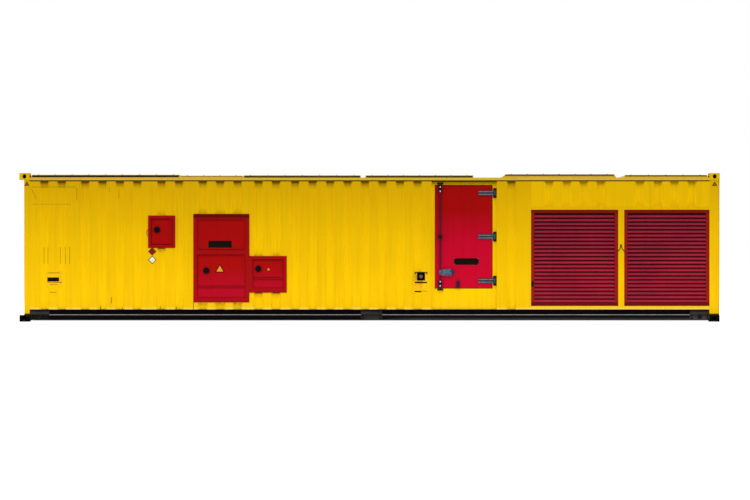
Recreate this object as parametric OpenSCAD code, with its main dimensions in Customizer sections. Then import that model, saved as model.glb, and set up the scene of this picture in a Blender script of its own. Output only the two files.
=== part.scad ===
// Containerised generator set: a forty-foot steel container body with an access door,
// recessed switch cabinets, air louvres and removable roof covers.
// Millimetres. X runs along the length, the front faces -Y, Z is up from the ground.

/* [Container] */
// Overall length over the corner castings
length = 12192; // [11900:1:12600]
// Overall width over the corner castings
width = 2438; // [2340:1:2560]
// Overall height over the corner castings
height = 2591; // [2540:1:2900]
// Set-back of side walls and rails from the casting faces
side_set_in = 6; // [2:1:12]

/* [Corner castings] */
// Length of a corner casting along the container
cast_l = 178; // [176:1:190]
// Width of a corner casting across the container
cast_w = 162; // [158:1:175]
// Height of a corner casting
cast_h = 118; // [112:1:130]
// Side wall thickness of a casting
cast_wall = 12; // [8:1:12]
// Thickness of the slotted top or bottom plate of a casting
cast_plate = 28; // [20:1:32]
// Length of the twistlock slot
lock_slot_l = 124; // [110:1:128]
// Width of the twistlock slot
lock_slot_w = 63.5; // [55:0.5:70]
// Slot centre from the end face of the casting
lock_inset_x = 103.5; // [100:0.5:106]
// Slot centre from the side face of the casting
lock_inset_y = 89.5; // [82:0.5:96]
// Width of the lashing hole in the side face
side_hole_w = 63.5; // [50:0.5:70]
// Width of the lashing hole in the end face
end_hole_w = 51; // [44:0.5:64]
// Height of both lashing holes
lash_hole_h = 79; // [71:0.5:84]

/* [Corner posts] */
// Set-back of the left posts from the end of the castings
left_post_inset = 84; // [60:1:90]
// Width of a left post seen from the front
left_post_w = 94; // [90:1:110]
// Depth of a left post
left_post_d = 110; // [90:1:130]
// Width of a right post seen from the front
right_post_w = 178; // [150:1:190]
// Depth of a right post
right_post_d = 150; // [130:1:155]
// Step along the outer edge of a right post
post_rebate = 26; // [15:1:40]
// Plate thickness of the posts
post_t = 6; // [4:0.5:10]

/* [Rails] */
// Side of the square top rail tube
top_rail = 62; // [50:1:75]
// Drop of the top rail below the casting tops
top_rail_drop = 80; // [62:1:90]
// Wall of the rail tubes
tube_t = 4; // [3:0.5:6]
// Ground clearance under the bottom rails
rail_gap = 28; // [18:1:36]
// Height of the bottom rails
bottom_rail_h = 188; // [160:1:210]
// Height of the rail step above the bottom of the rail
ledge_h = 97; // [70:1:110]
// Fall of the rail step towards its outer edge
ledge_fall = 20; // [10:1:26]
// Plate thickness of the bottom rails
bottom_rail_t = 6; // [4:0.5:8]
// Set-back of the lower rail face behind the wall face
lower_web_set_in = 7; // [3:1:15]
// Set-back of the upper rail face behind the wall face
upper_web_set_in = 44; // [40:1:60]
// Width of the bottom flange of the rail
bottom_flange_w = 50; // [30:1:70]
// Height of the end headers
end_header_h = 107; // [70:1:118]
// Length of the closing plates at the rail ends
end_plate_l = 340; // [200:1:500]
// Length of the closing plate at mid-length
middle_plate_l = 366; // [200:1:500]
// Offset of the middle closing plate from mid-length
middle_plate_x = 34; // [0:1:120]
// Thickness of the closing plates
closing_plate_t = 4; // [3:0.5:5]
// Height of the closing plates' lower edge above the bottom of the rail
closing_plate_foot = 14; // [8:1:30]

/* [Wall sheets] */
// Thickness of the corrugated sheets
sheet_t = 2; // [1.5:0.1:3]
// Depth of a corrugation
wall_depth = 36; // [25:1:40]
// Flat width at the bottom of a corrugation
recess_flat = 100; // [70:1:110]
// Run of one sloping side of a corrugation
slope_run = 38; // [25:1:45]
// Spacing of the corrugations
recess_pitch = 304; // [290:1:320]
// First corrugation from the left end of the front wall
first_recess = 255; // [150:1:300]

/* [Floor] */
// Thickness of the floor deck
deck_t = 6; // [4:0.5:10]
// Underside of the deck above the ground
deck_z = 176; // [160:1:190]
// Height of a floor cross member
cross_h = 122; // [100:1:130]
// Flange width of a cross member
cross_flange = 45; // [35:1:60]
// Plate thickness of a cross member
cross_t = 4; // [3:0.5:6]
// Spacing of the cross members
cross_pitch = 400; // [300:1:600]

/* [Access door] */
// Left edge of the door surround from the right end
door_from_right = 5021; // [4950:1:5190]
// Width of the door surround
surround_w = 1143; // [1100:1:1200]
// Set-back of the surround behind the wall face
surround_set_in = 30; // [30:1:32]
// Plate thickness of the surround
surround_t = 4; // [3:0.5:6]
// Width of the jamb on the lock side
lock_jamb_w = 59; // [55:1:75]
// Width of the jamb on the hinge side
hinge_jamb_w = 73; // [70:1:84]
// Height of the header over the doorway
header_h = 63; // [58:1:80]
// Bottom of the doorway above the ground
doorway_z = 578; // [500:1:620]
// Gap between the leaf and the doorway
leaf_gap = 10; // [8:1:14]
// Depth of the leaf
leaf_d = 50; // [40:1:60]
// Sheet thickness of the leaf
leaf_t = 3; // [2:0.5:4]
// Width of the fold round the back of the leaf
leaf_lip = 25; // [15:1:40]
// Gap between the back of the leaf and the stop
stop_gap = 15; // [8:1:20]
// Width of the stop strip beside the doorway
stop_w = 36; // [28:1:50]

/* [Door hinges] */
// Hinge axis in front of the leaf face
hinge_out = 19; // [18.5:0.1:20]
// Hinge axis beyond the edge of the leaf
hinge_beyond = 48; // [46:1:50]
// Reach of a hinge strap from its axis
strap_l = 288; // [240:1:340]
// Height of a hinge strap
strap_h = 92; // [80:1:120]
// Thickness of a hinge strap
strap_t = 10; // [8:0.5:12]
// Thickness left on a strap over the jamb
strap_neck = 4; // [3:0.5:5]
// Thickness of a lug's base plate
lug_plate_t = 3; // [2:0.5:3]
// Height of the rib along a strap
strap_rib = 6; // [3:0.5:8]
// Outer radius of a hinge knuckle
knuckle_r = 14; // [12:0.5:15]
// Radius of a hinge pin
hinge_pin_r = 8; // [6:0.5:9]
// Width of a hinge lug's base plate
lug_w = 60; // [40:1:62]
// Height of one ear of a hinge lug
ear_h = 38; // [25:1:45]
// Axial gap between a knuckle and its ears
ear_gap = 0.5; // [0.3:0.1:1]
// Radial clearance round pins and rods
fit = 0.3; // [0.2:0.05:0.5]

/* [Door lock] */
// Radius of the lock rod
rod_r = 13; // [11:0.5:13]
// Lock rod axis from the edge of the leaf
rod_x = 87; // [70:1:110]
// Lock rod axis in front of the leaf face
rod_out = 18; // [17.5:0.1:18.5]
// Length of rod beyond the leaf at each end
rod_over = 44; // [30:1:50]
// Width of a rod guide
guide_w = 70; // [50:1:90]
// Height of the rod guides near the rod's ends
guide_h = 100; // [70:1:110]
// Reach of the lock handle from the rod axis
handle_l = 256; // [200:1:300]
// Height of the lock handle
handle_h = 130; // [90:1:140]
// Thickness of the lock handle
handle_t = 16; // [10:1:20]
// Width of a keeper cheek
keeper_t = 8; // [5:1:12]
// Gap between the rod and a keeper cheek
keeper_gap = 9; // [7:1:14]
// Height of the keeper cheeks
keeper_h = 30; // [20:1:32]
// Width of a keeper cheek's foot
keeper_foot_w = 22; // [12:1:26]
// Thickness of a keeper cheek's foot
keeper_foot_t = 6; // [4:0.5:8]
// Width of the hold-open catch
catch_w = 69; // [40:1:80]
// Height of the hold-open catch
catch_h = 131; // [90:1:160]
// Depth of the hold-open catch
catch_d = 26; // [18:1:30]

/* [Cabinets] */
// Thickness of the red frames on the wall
frame_t = 5; // [3:0.5:5.5]
// Lap of a frame over the edge of its wall opening
frame_lap = 25; // [15:1:30]
// Depth of the folds round a cabinet opening
return_d = 50; // [46:1:70]
// Sheet thickness of cabinets and their doors
cabinet_t = 3; // [2:0.5:4]
// Gap round a cabinet door
cabinet_gap = 6; // [5:0.5:8]
// Set-back of a cabinet door behind its frame
door_sink = 18; // [17.5:0.5:20]
// Depth of a cabinet door
cabinet_door_d = 25; // [18:1:27]
// Width of a hinge strip
hinge_strip_w = 48; // [30:1:60]
// Outer radius of a cabinet hinge barrel
barrel_r = 7; // [6:0.5:7]
// Radius of a cabinet hinge pin
cabinet_pin_r = 4; // [3:0.5:4.5]
// Radius of a round cabinet lock
lock_r = 56; // [45:1:65]
// Height of a round cabinet lock
lock_h = 14; // [8:0.5:15]

/* [Fuel cabinet] */
// Left edge from the left end
fuel_x = 2240; // [2100:1:2350]
// Bottom edge above the ground
fuel_z = 1285; // [1200:1:1350]
// Width over the frame
fuel_w = 477; // [440:1:520]
// Height over the frame
fuel_h = 566; // [520:1:620]
// Depth behind the wall face
fuel_d = 300; // [200:1:400]
// Width of the frame round the door
fuel_bar = 54; // [45:1:65]

/* [Power panel] */
// Left edge from the left end
panel_x = 3028; // [2960:1:3100]
// Bottom edge above the ground
panel_z = 337; // [290:1:380]
// Width over the frame
panel_w = 977; // [900:1:1040]
// Height over the frame
panel_h = 1542; // [1480:1:1620]
// Depth behind the wall face
panel_d = 450; // [300:1:600]
// Width of the frame at the sides
panel_bar = 70; // [60:1:85]
// Width of the frame at the top
panel_top_bar = 92; // [75:1:110]
// Width of the frame at the bottom
panel_foot_bar = 83; // [70:1:95]
// Height of the upper cover
panel_cover_h = 536; // [450:1:560]
// Height of the bar under the upper cover
panel_middle_bar = 80; // [60:1:95]
// Height of the bar over the lower cover
panel_lower_bar = 16; // [14:1:30]
// Height of the lower cover
panel_foot_h = 181; // [140:1:220]

/* [Side box] */
// Bottom edge above the ground
box_z = 506; // [450:1:560]
// Width over the frame
box_w = 651; // [600:1:700]
// Height over the frame
box_h = 641; // [600:1:700]
// Depth behind the wall face
box_d = 300; // [200:1:400]
// Width of the frame at the top
box_top_bar = 61; // [50:1:70]
// Width of the frame at the bottom
box_foot_bar = 78; // [65:1:90]
// Width of the frame at the sides
box_bar = 56; // [48:1:66]
// Height of the bar between door and cover
box_middle_bar = 17; // [14:1:30]
// Height of the lower cover
box_foot_h = 162; // [140:1:210]

/* [Emergency stop] */
// Centre from the left edge of the door surround
stop_from_door = 179; // [120:1:270]
// Centre above the ground
stop_z = 789; // [700:1:860]
// Side of the square cup
stop_side = 124; // [100:1:150]
// Side of the square lip round the cup
stop_lip = 140; // [132:1:170]
// Thickness of the lip
stop_lip_t = 4; // [2:0.5:5]
// Depth of the cup behind the wall face
stop_cup_d = 60; // [44:1:80]
// Radius of the mushroom button
button_r = 33; // [25:1:40]

/* [Louvres] */
// Width of a left louvre panel
left_louvre_w = 1519; // [1420:1:1550]
// Width of a right louvre panel
right_louvre_w = 1485; // [1400:1:1530]
// Head of the louvres below the top of the wall sheets
louvre_drop = 497; // [420:1:560]
// Bottom of the louvres above the ground
louvre_z = 276; // [262:1:300]
// Width of the mullion between two louvres
mullion_w = 103; // [80:1:130]
// Height of the bar over the louvres
louvre_top_bar = 58; // [40:1:80]
// Set-back of the louvres behind the wall face
louvre_set_in = 8; // [4:1:20]
// Depth of a louvre panel
louvre_d = 66; // [60:1:80]
// Width of a louvre frame
louvre_bar = 58; // [40:1:70]
// Spacing of the louvre blades
blade_pitch = 67; // [62:0.5:75]
// Height of the upright lip of a blade
blade_lip = 13; // [8:1:20]
// Rise of the sloping part of a blade
blade_rise = 56; // [54:1:60]
// Width of a stiffener behind the blades
stiffener_w = 20; // [12:1:30]
// Thickness of a stiffener
stiffener_d = 10; // [6:1:14]
// Sheet thickness of a blade
blade_t = 2.5; // [1.5:0.5:3]

/* [Roof] */
// Rise of the tallest roof cover over the rails
cover_rise = 58; // [40:1:60]
// Slope run at the ends of a roof cover
cover_slope = 70; // [20:1:90]
// Sheet thickness of the roof covers
cover_t = 3; // [2:0.5:4]
// Set-back of the covers from the rail faces
cover_set_in = 20; // [10:1:30]
// Depth of a roof corrugation
roof_depth = 20; // [12:1:24]
// Spacing of the roof corrugations
roof_pitch = 210; // [180:1:260]

/* [Left end doors] */
// Set-back of the end doors behind the post faces
end_door_sink = 50; // [45:1:60]
// Depth of an end door
end_door_d = 50; // [40:1:54]
// Width of an end door's edge frame
end_door_bar = 100; // [80:1:130]
// Gap between the two end doors
end_door_gap = 8; // [5:1:14]
// Height of an end-door hinge
end_hinge_h = 120; // [90:1:160]
// Height of the strap of an end-door hinge
end_strap_h = 76; // [50:1:88]
// Clearance of an outer handle from the post
end_handle_clear = 30; // [15:1:60]
// Height of an end-door handle
end_handle_h = 40; // [25:1:60]
// Width of the catch that holds a handle
end_catch_w = 70; // [40:1:90]
// Height of the catch that holds a handle
end_catch_h = 80; // [62:1:110]

/* [Hidden] */
$fn = 48;

// Overrun of every cut past the face that it opens
cut = 1;

// Ends, faces and levels that the pieces share
left_end = -length / 2;
right_end = length / 2;
wall_face = -(width / 2 - side_set_in);
rail_top_z = height - top_rail_drop;
wall_top = rail_top_z - top_rail;
wall_foot = rail_gap + bottom_rail_h;
left_post_x = left_end + left_post_inset;
wall_left = left_post_x + left_post_w;
wall_right = right_end - right_post_w;
recess_mouth = recess_flat + 2 * slope_run;
upper_web = wall_face + upper_web_set_in + bottom_rail_t;
lower_web = wall_face + lower_web_set_in + bottom_rail_t;
ledge_z = rail_gap + ledge_h;

// Front corrugations: seams follow these corrugations and widen the flat there
seam_after = [1, 5, 7, 10, 12];
seam_shares = [0.33, 0.38, 0.36, 0.2, 0.1];
// Corrugations over the louvres, as shares of the louvre wall's length
louvre_recess_shares = [0.068, 0.246, 0.329, 0.408, 0.49, 0.673, 0.758, 0.835, 0.918];
mullion_x = wall_right - right_louvre_w - mullion_w;
louvre_wall_left = mullion_x - left_louvre_w;

// Access door
surround_left = right_end - door_from_right;
surround_right = surround_left + surround_w;
stop_centre = surround_left - stop_from_door;
surround_face = wall_face + surround_set_in;
doorway_left = surround_left + lock_jamb_w;
doorway_right = surround_right - hinge_jamb_w;
doorway_top = wall_top - header_h;
leaf_left = doorway_left + leaf_gap;
leaf_right = doorway_right - leaf_gap;
leaf_foot = doorway_z + leaf_gap;
leaf_h = doorway_top - leaf_gap - leaf_foot;
stop_face = surround_face + leaf_d + stop_gap;
hinge_x = leaf_right + hinge_beyond;
hinge_y = surround_face - hinge_out;
hinge_shares = [0.0705, 0.501, 0.9256];
lock_rod_x = leaf_left + rod_x;
lock_rod_y = surround_face - rod_out;
guide_shares = [0.042, 0.5, 0.963];
guide_h_shares = [1, 0.6, 1];
guide_depth = rod_out + rod_r + fit + sheet_t;
handle_share = 0.152;
handle_z = leaf_foot + handle_share * leaf_h;
hub_r = rod_out - sheet_t;
catch_share = 0.364;
catch_slot_share = 0.4;
keeper_d = rod_out + rod_r;

// Cabinets
frame_face = wall_face - frame_t;
cabinet_skin = frame_face + door_sink;
hinge_inset = barrel_r + cabinet_t;
hinge_sink = barrel_r + sheet_t;
door_edge = 2 * hinge_inset;
fuel_left = left_end + fuel_x;
panel_left = left_end + panel_x;
box_left = panel_left + panel_w;
box_right = box_left + box_w;
fuel_opening = [fuel_left + fuel_bar, fuel_left + fuel_w - fuel_bar,
    fuel_z + fuel_bar, fuel_z + fuel_h - fuel_bar];
panel_in_left = panel_left + panel_bar;
panel_in_right = panel_left + panel_w - panel_bar;
panel_foot = panel_z + panel_foot_bar;
panel_door_foot = panel_foot + panel_foot_h + panel_lower_bar;
panel_cover_top = panel_z + panel_h - panel_top_bar;
panel_door_top = panel_cover_top - panel_cover_h - panel_middle_bar;
panel_openings = [[panel_in_left, panel_in_right, panel_foot, panel_foot + panel_foot_h],
    [panel_in_left, panel_in_right, panel_door_foot, panel_door_top],
    [panel_in_left, panel_in_right, panel_cover_top - panel_cover_h, panel_cover_top]];
box_in_left = box_left + box_bar;
box_in_right = box_right - box_bar;
box_foot = box_z + box_foot_bar;
box_door_foot = box_foot + box_foot_h + box_middle_bar;
box_openings = [[box_in_left, box_in_right, box_foot, box_foot + box_foot_h],
    [box_in_left, box_in_right, box_door_foot, box_z + box_h - box_top_bar]];
fuel_lock_shares = [0.277, 0.575];
panel_lock_shares = [0.186, 0.494];
box_lock_shares = [0.183, 0.495];
cover_step_share = 0.66;

// Louvre blades and stiffeners
louvre_face = wall_face + louvre_set_in;
louvre_h = wall_top - louvre_drop - louvre_z;
blade_reach = louvre_d - louvre_bar / 2;
stiffener_shares = [0.25, 0.5, 0.75];

// Roof covers along the roof, as shares of its length, and their heights
roof_left = left_end + cast_l;
roof_l = length - 2 * cast_l;
cover_shares = [[0.0021, 0.221], [0.2215, 0.3135], [0.314, 0.4874], [0.4933, 0.6529],
    [0.6947, 0.8632], [0.8712, 0.9977]];
cover_rise_shares = [0.86, 0.57, 0.72, 0.72, 1, 0.78];
cover_slope_shares = [0.2, 0.2, 0.2, 0.2, 1, 1];

// Left end doors
end_door_face = left_post_x + end_door_sink;
end_door_left = -width / 2 + side_set_in + left_post_d;
end_door_l = -end_door_left - end_door_gap / 2;
end_rib_shares = [0.14, 0.32, 0.5, 0.68, 0.86];
end_rod_shares = [0.3, 0.8];
end_guide_shares = [0.06, 0.5, 0.94];
end_hinge_shares = [0.1, 0.36, 0.64, 0.9];
end_handle_share = 0.41;
end_handle_l = end_rod_shares[0] * end_door_l - end_handle_clear;

// Sheet-metal helpers

function unit(v) = v / norm(v);
function left_normal(a, b) = let (d = unit(b - a)) [-d[1], d[0]];
// Corner of a parallel line at distance t, left of the line's direction
function mitre(p, i, t) =
    let (n1 = i > 0 ? left_normal(p[i - 1], p[i]) : left_normal(p[0], p[1]),
        n2 = i < len(p) - 1 ? left_normal(p[i], p[i + 1]) : n1)
    (n1 + n2) * t / (1 + n1 * n2);
function thickened(p, t) = concat(p, [for (i = [len(p) - 1:-1:0]) p[i] + mitre(p, i, t)]);

// Folded sheet: a line of bends in plan, thickened and drawn upwards
module folded_up(line, t, h) {
    linear_extrude(height = h) polygon(thickened(line, t));
}

// Folded sheet whose line lies in the Y-Z plane, drawn along +X
module folded_along(line, t, l) {
    rotate([90, 0, 90]) linear_extrude(height = l) polygon(thickened(line, t));
}

// Folded sheet whose line lies in the X-Z plane, drawn along +Y from y0
module folded_across(line, t, y0, l) {
    translate([0, y0 + l, 0]) rotate([90, 0, 0]) linear_extrude(height = l)
        polygon(thickened(line, t));
}

// Rectangular tube along X with its corner at the origin
module tube_along(l, d, h, t) {
    difference() {
        cube([l, d, h]);
        translate([-cut, t, t]) cube([l + 2 * cut, d - 2 * t, h - 2 * t]);
    }
}

module tube_across(l, d, h, t) {
    difference() {
        cube([d, l, h]);
        translate([t, -cut, t]) cube([d - 2 * t, l + 2 * cut, h - 2 * t]);
    }
}

module tube_up(w, d, h, t) {
    difference() {
        cube([w, d, h]);
        translate([t, t, -cut]) cube([w - 2 * t, d - 2 * t, h + 2 * cut]);
    }
}

// Slot with round ends, along X, from the origin plane upwards
module slot(l, w, h) {
    straight = (l - w) / 2;
    for (s = [-1, 1]) translate([s * straight, 0, 0]) cylinder(d = w, h = h);
    translate([-straight, -w / 2, 0]) cube([2 * straight, w, h]);
}

// A shape and its mirror images about the container's centre planes
module both_sides() {
    children();
    mirror([0, 1, 0]) children();
}

module both_ends() {
    children();
    mirror([1, 0, 0]) children();
}

// Corrugated sheets

function seam_extra(i) =
    let (k = search(i, seam_after)) len(k) > 0 ? seam_shares[k[0]] * recess_pitch : 0;
function row_of_recesses(first, last, seams) =
    [for (i = 0, x = first; x < last; x = x + recess_pitch + (seams ? seam_extra(i) : 0), i = i + 1) x];
function recess_at(x, centres) =
    wall_depth * max(concat([0],
        [for (c = centres) min(1, (recess_mouth / 2 - abs(x - c)) / slope_run)]));
function sheet_breaks(xa, xb, centres) =
    [for (c = centres) for (s = [-recess_mouth, -recess_flat, recess_flat, recess_mouth])
        if (c + s / 2 > xa && c + s / 2 < xb) c + s / 2];
function sheet_line(xa, xb, centres) =
    [for (x = concat([xa], sheet_breaks(xa, xb, centres), [xb])) [x, recess_at(x, centres)]];

// Upright corrugated sheet in plan from xa to xb, its outer flats on y = 0
module corrugated(xa, xb, h, centres) {
    line = sheet_line(xa, xb, centres);
    linear_extrude(height = h)
        polygon(concat(line, [for (i = [len(line) - 1:-1:0]) line[i] + [0, sheet_t]]));
}

module wall_strip(xa, xb, za, zb, centres) {
    translate([0, wall_face, za]) corrugated(xa, xb, zb - za, centres);
}

front_recesses = row_of_recesses(left_end + left_post_inset + left_post_w + first_recess,
    surround_left - recess_mouth / 2, true);
rear_recesses = row_of_recesses(wall_left + first_recess, louvre_wall_left - recess_mouth / 2, false);
louvre_recesses = [for (s = louvre_recess_shares)
    surround_right + s * (wall_right - surround_right)];

// Colours
module yellow_paint() { color("gold") children(); }
module red_paint() { color("firebrick") children(); }
module black_paint() { color([0.08, 0.08, 0.08]) children(); }
module zinc() { color("slategray") children(); }

// Corner castings: hollow blocks with a twistlock slot and two lashing holes

module casting() {
    difference() {
        cube([cast_l, cast_w, cast_h]);
        translate([cast_wall, cast_wall, cast_plate])
            cube([cast_l - 2 * cast_wall, cast_w - 2 * cast_wall, cast_h - cast_plate - cast_wall]);
        translate([lock_inset_x, lock_inset_y, -cut]) slot(lock_slot_l, lock_slot_w, cast_plate + 2 * cut);
        translate([cast_l / 2, -cut, cast_h / 2]) rotate([-90, 90, 0])
            slot(lash_hole_h, side_hole_w, cast_wall + 2 * cut);
        translate([-cut, cast_w / 2, cast_h / 2]) rotate([0, 90, 0])
            slot(lash_hole_h, end_hole_w, cast_wall + 2 * cut);
    }
}

module bottom_corner_castings() {
    black_paint() both_ends() both_sides() translate([left_end, -width / 2, 0]) casting();
}

module top_corner_castings() {
    yellow_paint() both_ends() both_sides()
        translate([left_end, -width / 2, height]) mirror([0, 0, 1]) casting();
}

// End frames

module left_end_posts() {
    yellow_paint() both_sides() translate([left_post_x, wall_face, cast_h])
        tube_up(left_post_w, left_post_d, height - 2 * cast_h, post_t);
}

module right_end_posts() {
    line = [[0, right_post_d / 2], [0, 0], [right_post_w - post_rebate, 0],
        [right_post_w - post_rebate, post_rebate], [right_post_w, post_rebate],
        [right_post_w, right_post_d]];
    yellow_paint() both_sides() translate([wall_right, wall_face, cast_h])
        folded_up(line, post_t, height - 2 * cast_h);
}

module end_headers() {
    half = width / 2 - cast_w;
    for (e = [[left_post_x, roof_left], [roof_left + roof_l, right_end - side_set_in]])
        yellow_paint() translate([e[0], -half, wall_top])
            tube_across(2 * half, e[1] - e[0], end_header_h, tube_t);
}

module end_sills() {
    half = width / 2 - cast_w;
    for (e = [[left_post_x, wall_left], [wall_right, right_end - side_set_in]])
        black_paint() translate([e[0], -half, rail_gap])
            tube_across(2 * half, e[1] - e[0], bottom_rail_h, tube_t);
}

module right_end_wall() {
    half = width / 2 - side_set_in - right_post_d;
    spacing = 2 * half / (ceil(2 * half / recess_pitch));
    centres = [for (y = [-half + spacing / 2:spacing:half]) y];
    yellow_paint() translate([right_end - side_set_in, 0, wall_foot]) rotate([0, 0, 90])
        corrugated(-half, half, wall_top - wall_foot, centres);
}

// Side rails

module top_side_rails() {
    yellow_paint() both_sides() translate([roof_left, wall_face, wall_top])
        tube_along(roof_l, top_rail, top_rail, tube_t);
}

module bottom_side_rails() {
    line = [[lower_web + bottom_flange_w, rail_gap + bottom_rail_t],
        [lower_web, rail_gap + bottom_rail_t], [lower_web, ledge_z],
        [upper_web, ledge_z + ledge_fall], [upper_web, wall_foot], [wall_face, wall_foot]];
    black_paint() both_sides() translate([roof_left, 0, 0])
        folded_along(line, bottom_rail_t, roof_l);
}

// Plates bent over the step of the rail, at its ends and near mid-length
module rail_closing_plates() {
    web_face = wall_face + lower_web_set_in;
    line = [[web_face, rail_gap + closing_plate_foot], [web_face, ledge_z + bottom_rail_t],
        [wall_face + upper_web_set_in - closing_plate_t, wall_foot - 2 * bottom_rail_t]];
    plates = [[roof_left, end_plate_l], [middle_plate_x - middle_plate_l / 2, middle_plate_l],
        [roof_left + roof_l - end_plate_l, end_plate_l]];
    black_paint() both_sides() for (p = plates)
        translate([p[0], 0, 0]) folded_along(line, closing_plate_t, p[1]);
}

// Floor

module floor_cross_members() {
    span = wall_right - wall_left;
    count = floor((span - cross_flange) / cross_pitch);
    start = wall_left + (span - count * cross_pitch - cross_flange) / 2;
    foot = deck_z - cross_h;
    for (i = [0:count]) {
        x = start + i * cross_pitch;
        line = [[x + cross_flange, deck_z], [x, deck_z], [x, foot], [x + cross_flange, foot]];
        black_paint() folded_across(line, cross_t, upper_web, -2 * upper_web);
    }
}

module floor_deck() {
    color("dimgray") translate([wall_left, upper_web, deck_z])
        cube([wall_right - wall_left, -2 * upper_web, deck_t]);
}

// Walls

fuel_cut = [fuel_left + frame_lap, fuel_left + fuel_w - frame_lap,
    fuel_z + frame_lap, fuel_z + fuel_h - frame_lap];
panel_cut = [panel_left + frame_lap, panel_left + panel_w - frame_lap,
    panel_z + frame_lap, panel_z + panel_h - frame_lap];
box_cut = [box_left + frame_lap, box_right - frame_lap, box_z + frame_lap, box_z + box_h - frame_lap];

module front_wall_sheets() {
    spans = [[wall_left, fuel_cut[0]], [fuel_cut[1], panel_cut[0]], [panel_cut[1], box_cut[0]],
        [box_cut[1], surround_left], [surround_right, louvre_wall_left]];
    yellow_paint() difference() {
        for (s = spans) wall_strip(s[0], s[1], wall_foot, wall_top,
            concat(front_recesses, louvre_recesses));
        translate([stop_centre - stop_side / 2, wall_face - cut, stop_z - stop_side / 2])
            cube([stop_side, wall_depth + sheet_t + 2 * cut, stop_side]);
    }
}

module front_wall_infills() {
    yellow_paint() for (c = [fuel_cut, panel_cut, box_cut]) {
        wall_strip(c[0], c[1], wall_foot, c[2], front_recesses);
        wall_strip(c[0], c[1], c[3], wall_top, front_recesses);
    }
}

louvre_head = louvre_z + louvre_h;
louvre_sheet_foot = louvre_head + louvre_top_bar;

module louvre_wall_sheets() {
    yellow_paint() both_sides()
        wall_strip(louvre_wall_left, wall_right, louvre_sheet_foot, wall_top, louvre_recesses);
}

module rear_wall_sheet() {
    yellow_paint() mirror([0, 1, 0])
        wall_strip(wall_left, louvre_wall_left, wall_foot, wall_top, rear_recesses);
}

module louvre_rails() {
    span = wall_right - louvre_wall_left;
    yellow_paint() both_sides() {
        translate([louvre_wall_left, wall_face, wall_foot])
            tube_along(span, upper_web_set_in, louvre_z - wall_foot, tube_t);
        translate([louvre_wall_left, wall_face, louvre_head])
            tube_along(span, upper_web_set_in, louvre_top_bar, tube_t);
    }
}

module louvre_mullions() {
    yellow_paint() both_sides() translate([mullion_x, wall_face, louvre_z])
        tube_up(mullion_w, louvre_d, louvre_h, tube_t);
}

// Roof

module roof_sheet() {
    inner = -(wall_face + top_rail);
    rise = roof_depth;
    base = rail_top_z - roof_depth - 2 * sheet_t;
    count = floor(roof_l / roof_pitch);
    spacing = roof_l / count;
    // Each wave: flat, slope up, flat, slope down, each a quarter of the spacing
    line = concat([[roof_left, base]],
        [for (i = [0:count - 1]) for (k = [[1, 0], [2, 1], [3, 1], [4, 0]])
            [roof_left + (i + k[0] / 4) * spacing, base + k[1] * rise]]);
    yellow_paint() translate([0, inner, 0]) rotate([90, 0, 0]) linear_extrude(height = 2 * inner)
        polygon(concat(line, [for (i = [len(line) - 1:-1:0]) line[i] + [0, sheet_t]]));
}

module roof_cover(x0, x1, rise, slope) {
    edge = wall_face + cover_set_in;
    top = rail_top_z + rise;
    line = [[x1, rail_top_z], [x1 - slope / 2, top], [x0 + slope, top], [x0, rail_top_z]];
    difference() {
        union() {
            folded_across(line, cover_t, edge, -2 * edge);
            for (y = [edge + cover_t, -edge]) translate([0, y, 0]) rotate([90, 0, 0])
                linear_extrude(height = cover_t) polygon(line);
        }
        translate([x0 - cover_slope, edge - cut, rail_top_z - cover_rise])
            cube([x1 - x0 + 2 * cover_slope, 2 * (cut - edge), cover_rise]);
    }
}

module roof_covers() {
    yellow_paint() for (i = [0:len(cover_shares) - 1])
        roof_cover(roof_left + cover_shares[i][0] * roof_l, roof_left + cover_shares[i][1] * roof_l,
            cover_rise * cover_rise_shares[i], cover_slope * cover_slope_shares[i]);
}

// Louvres: a frame, sloping blades with an upright lip, and stiffeners behind them

module louvre(x, louvre_w) {
    inner_w = louvre_w - 2 * louvre_bar;
    inner_h = louvre_h - 2 * louvre_bar;
    count = floor((inner_h - blade_rise - blade_lip) / blade_pitch);
    first = louvre_z + louvre_bar + (inner_h - count * blade_pitch - blade_lip - blade_rise) / 2;
    red_paint() {
        difference() {
            translate([x, louvre_face, louvre_z]) cube([louvre_w, louvre_d, louvre_h]);
            translate([x + louvre_bar, louvre_face - cut, louvre_z + louvre_bar])
                cube([inner_w, louvre_d + 2 * cut, inner_h]);
            translate([x + tube_t, louvre_face + tube_t, louvre_z + tube_t])
                cube([louvre_w - 2 * tube_t, louvre_d, louvre_h - 2 * tube_t]);
        }
        difference() {
            translate([x + louvre_bar - tube_t, louvre_face, louvre_z + louvre_bar - tube_t])
                cube([inner_w + 2 * tube_t, louvre_d, inner_h + 2 * tube_t]);
            translate([x + louvre_bar, louvre_face - cut, louvre_z + louvre_bar])
                cube([inner_w, louvre_d + 2 * cut, inner_h]);
        }
        for (i = [0:count]) {
            z = first + i * blade_pitch;
            line = [[louvre_face + tube_t, z], [louvre_face + tube_t, z + blade_lip],
                [louvre_face + blade_reach, z + blade_lip + blade_rise]];
            translate([x + louvre_bar - tube_t / 2, 0, 0])
                folded_along(line, -blade_t, inner_w + tube_t);
        }
        for (s = stiffener_shares)
            translate([x + louvre_bar + s * inner_w - stiffener_w / 2,
                louvre_face + blade_reach - stiffener_d / 2, louvre_z + louvre_bar - tube_t / 2])
                cube([stiffener_w, stiffener_d, inner_h + tube_t]);
    }
}

module front_louvres() {
    louvre(louvre_wall_left, left_louvre_w);
    louvre(mullion_x + mullion_w, right_louvre_w);
}

module rear_louvres() {
    mirror([0, 1, 0]) front_louvres();
}

// Access door surround

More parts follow.
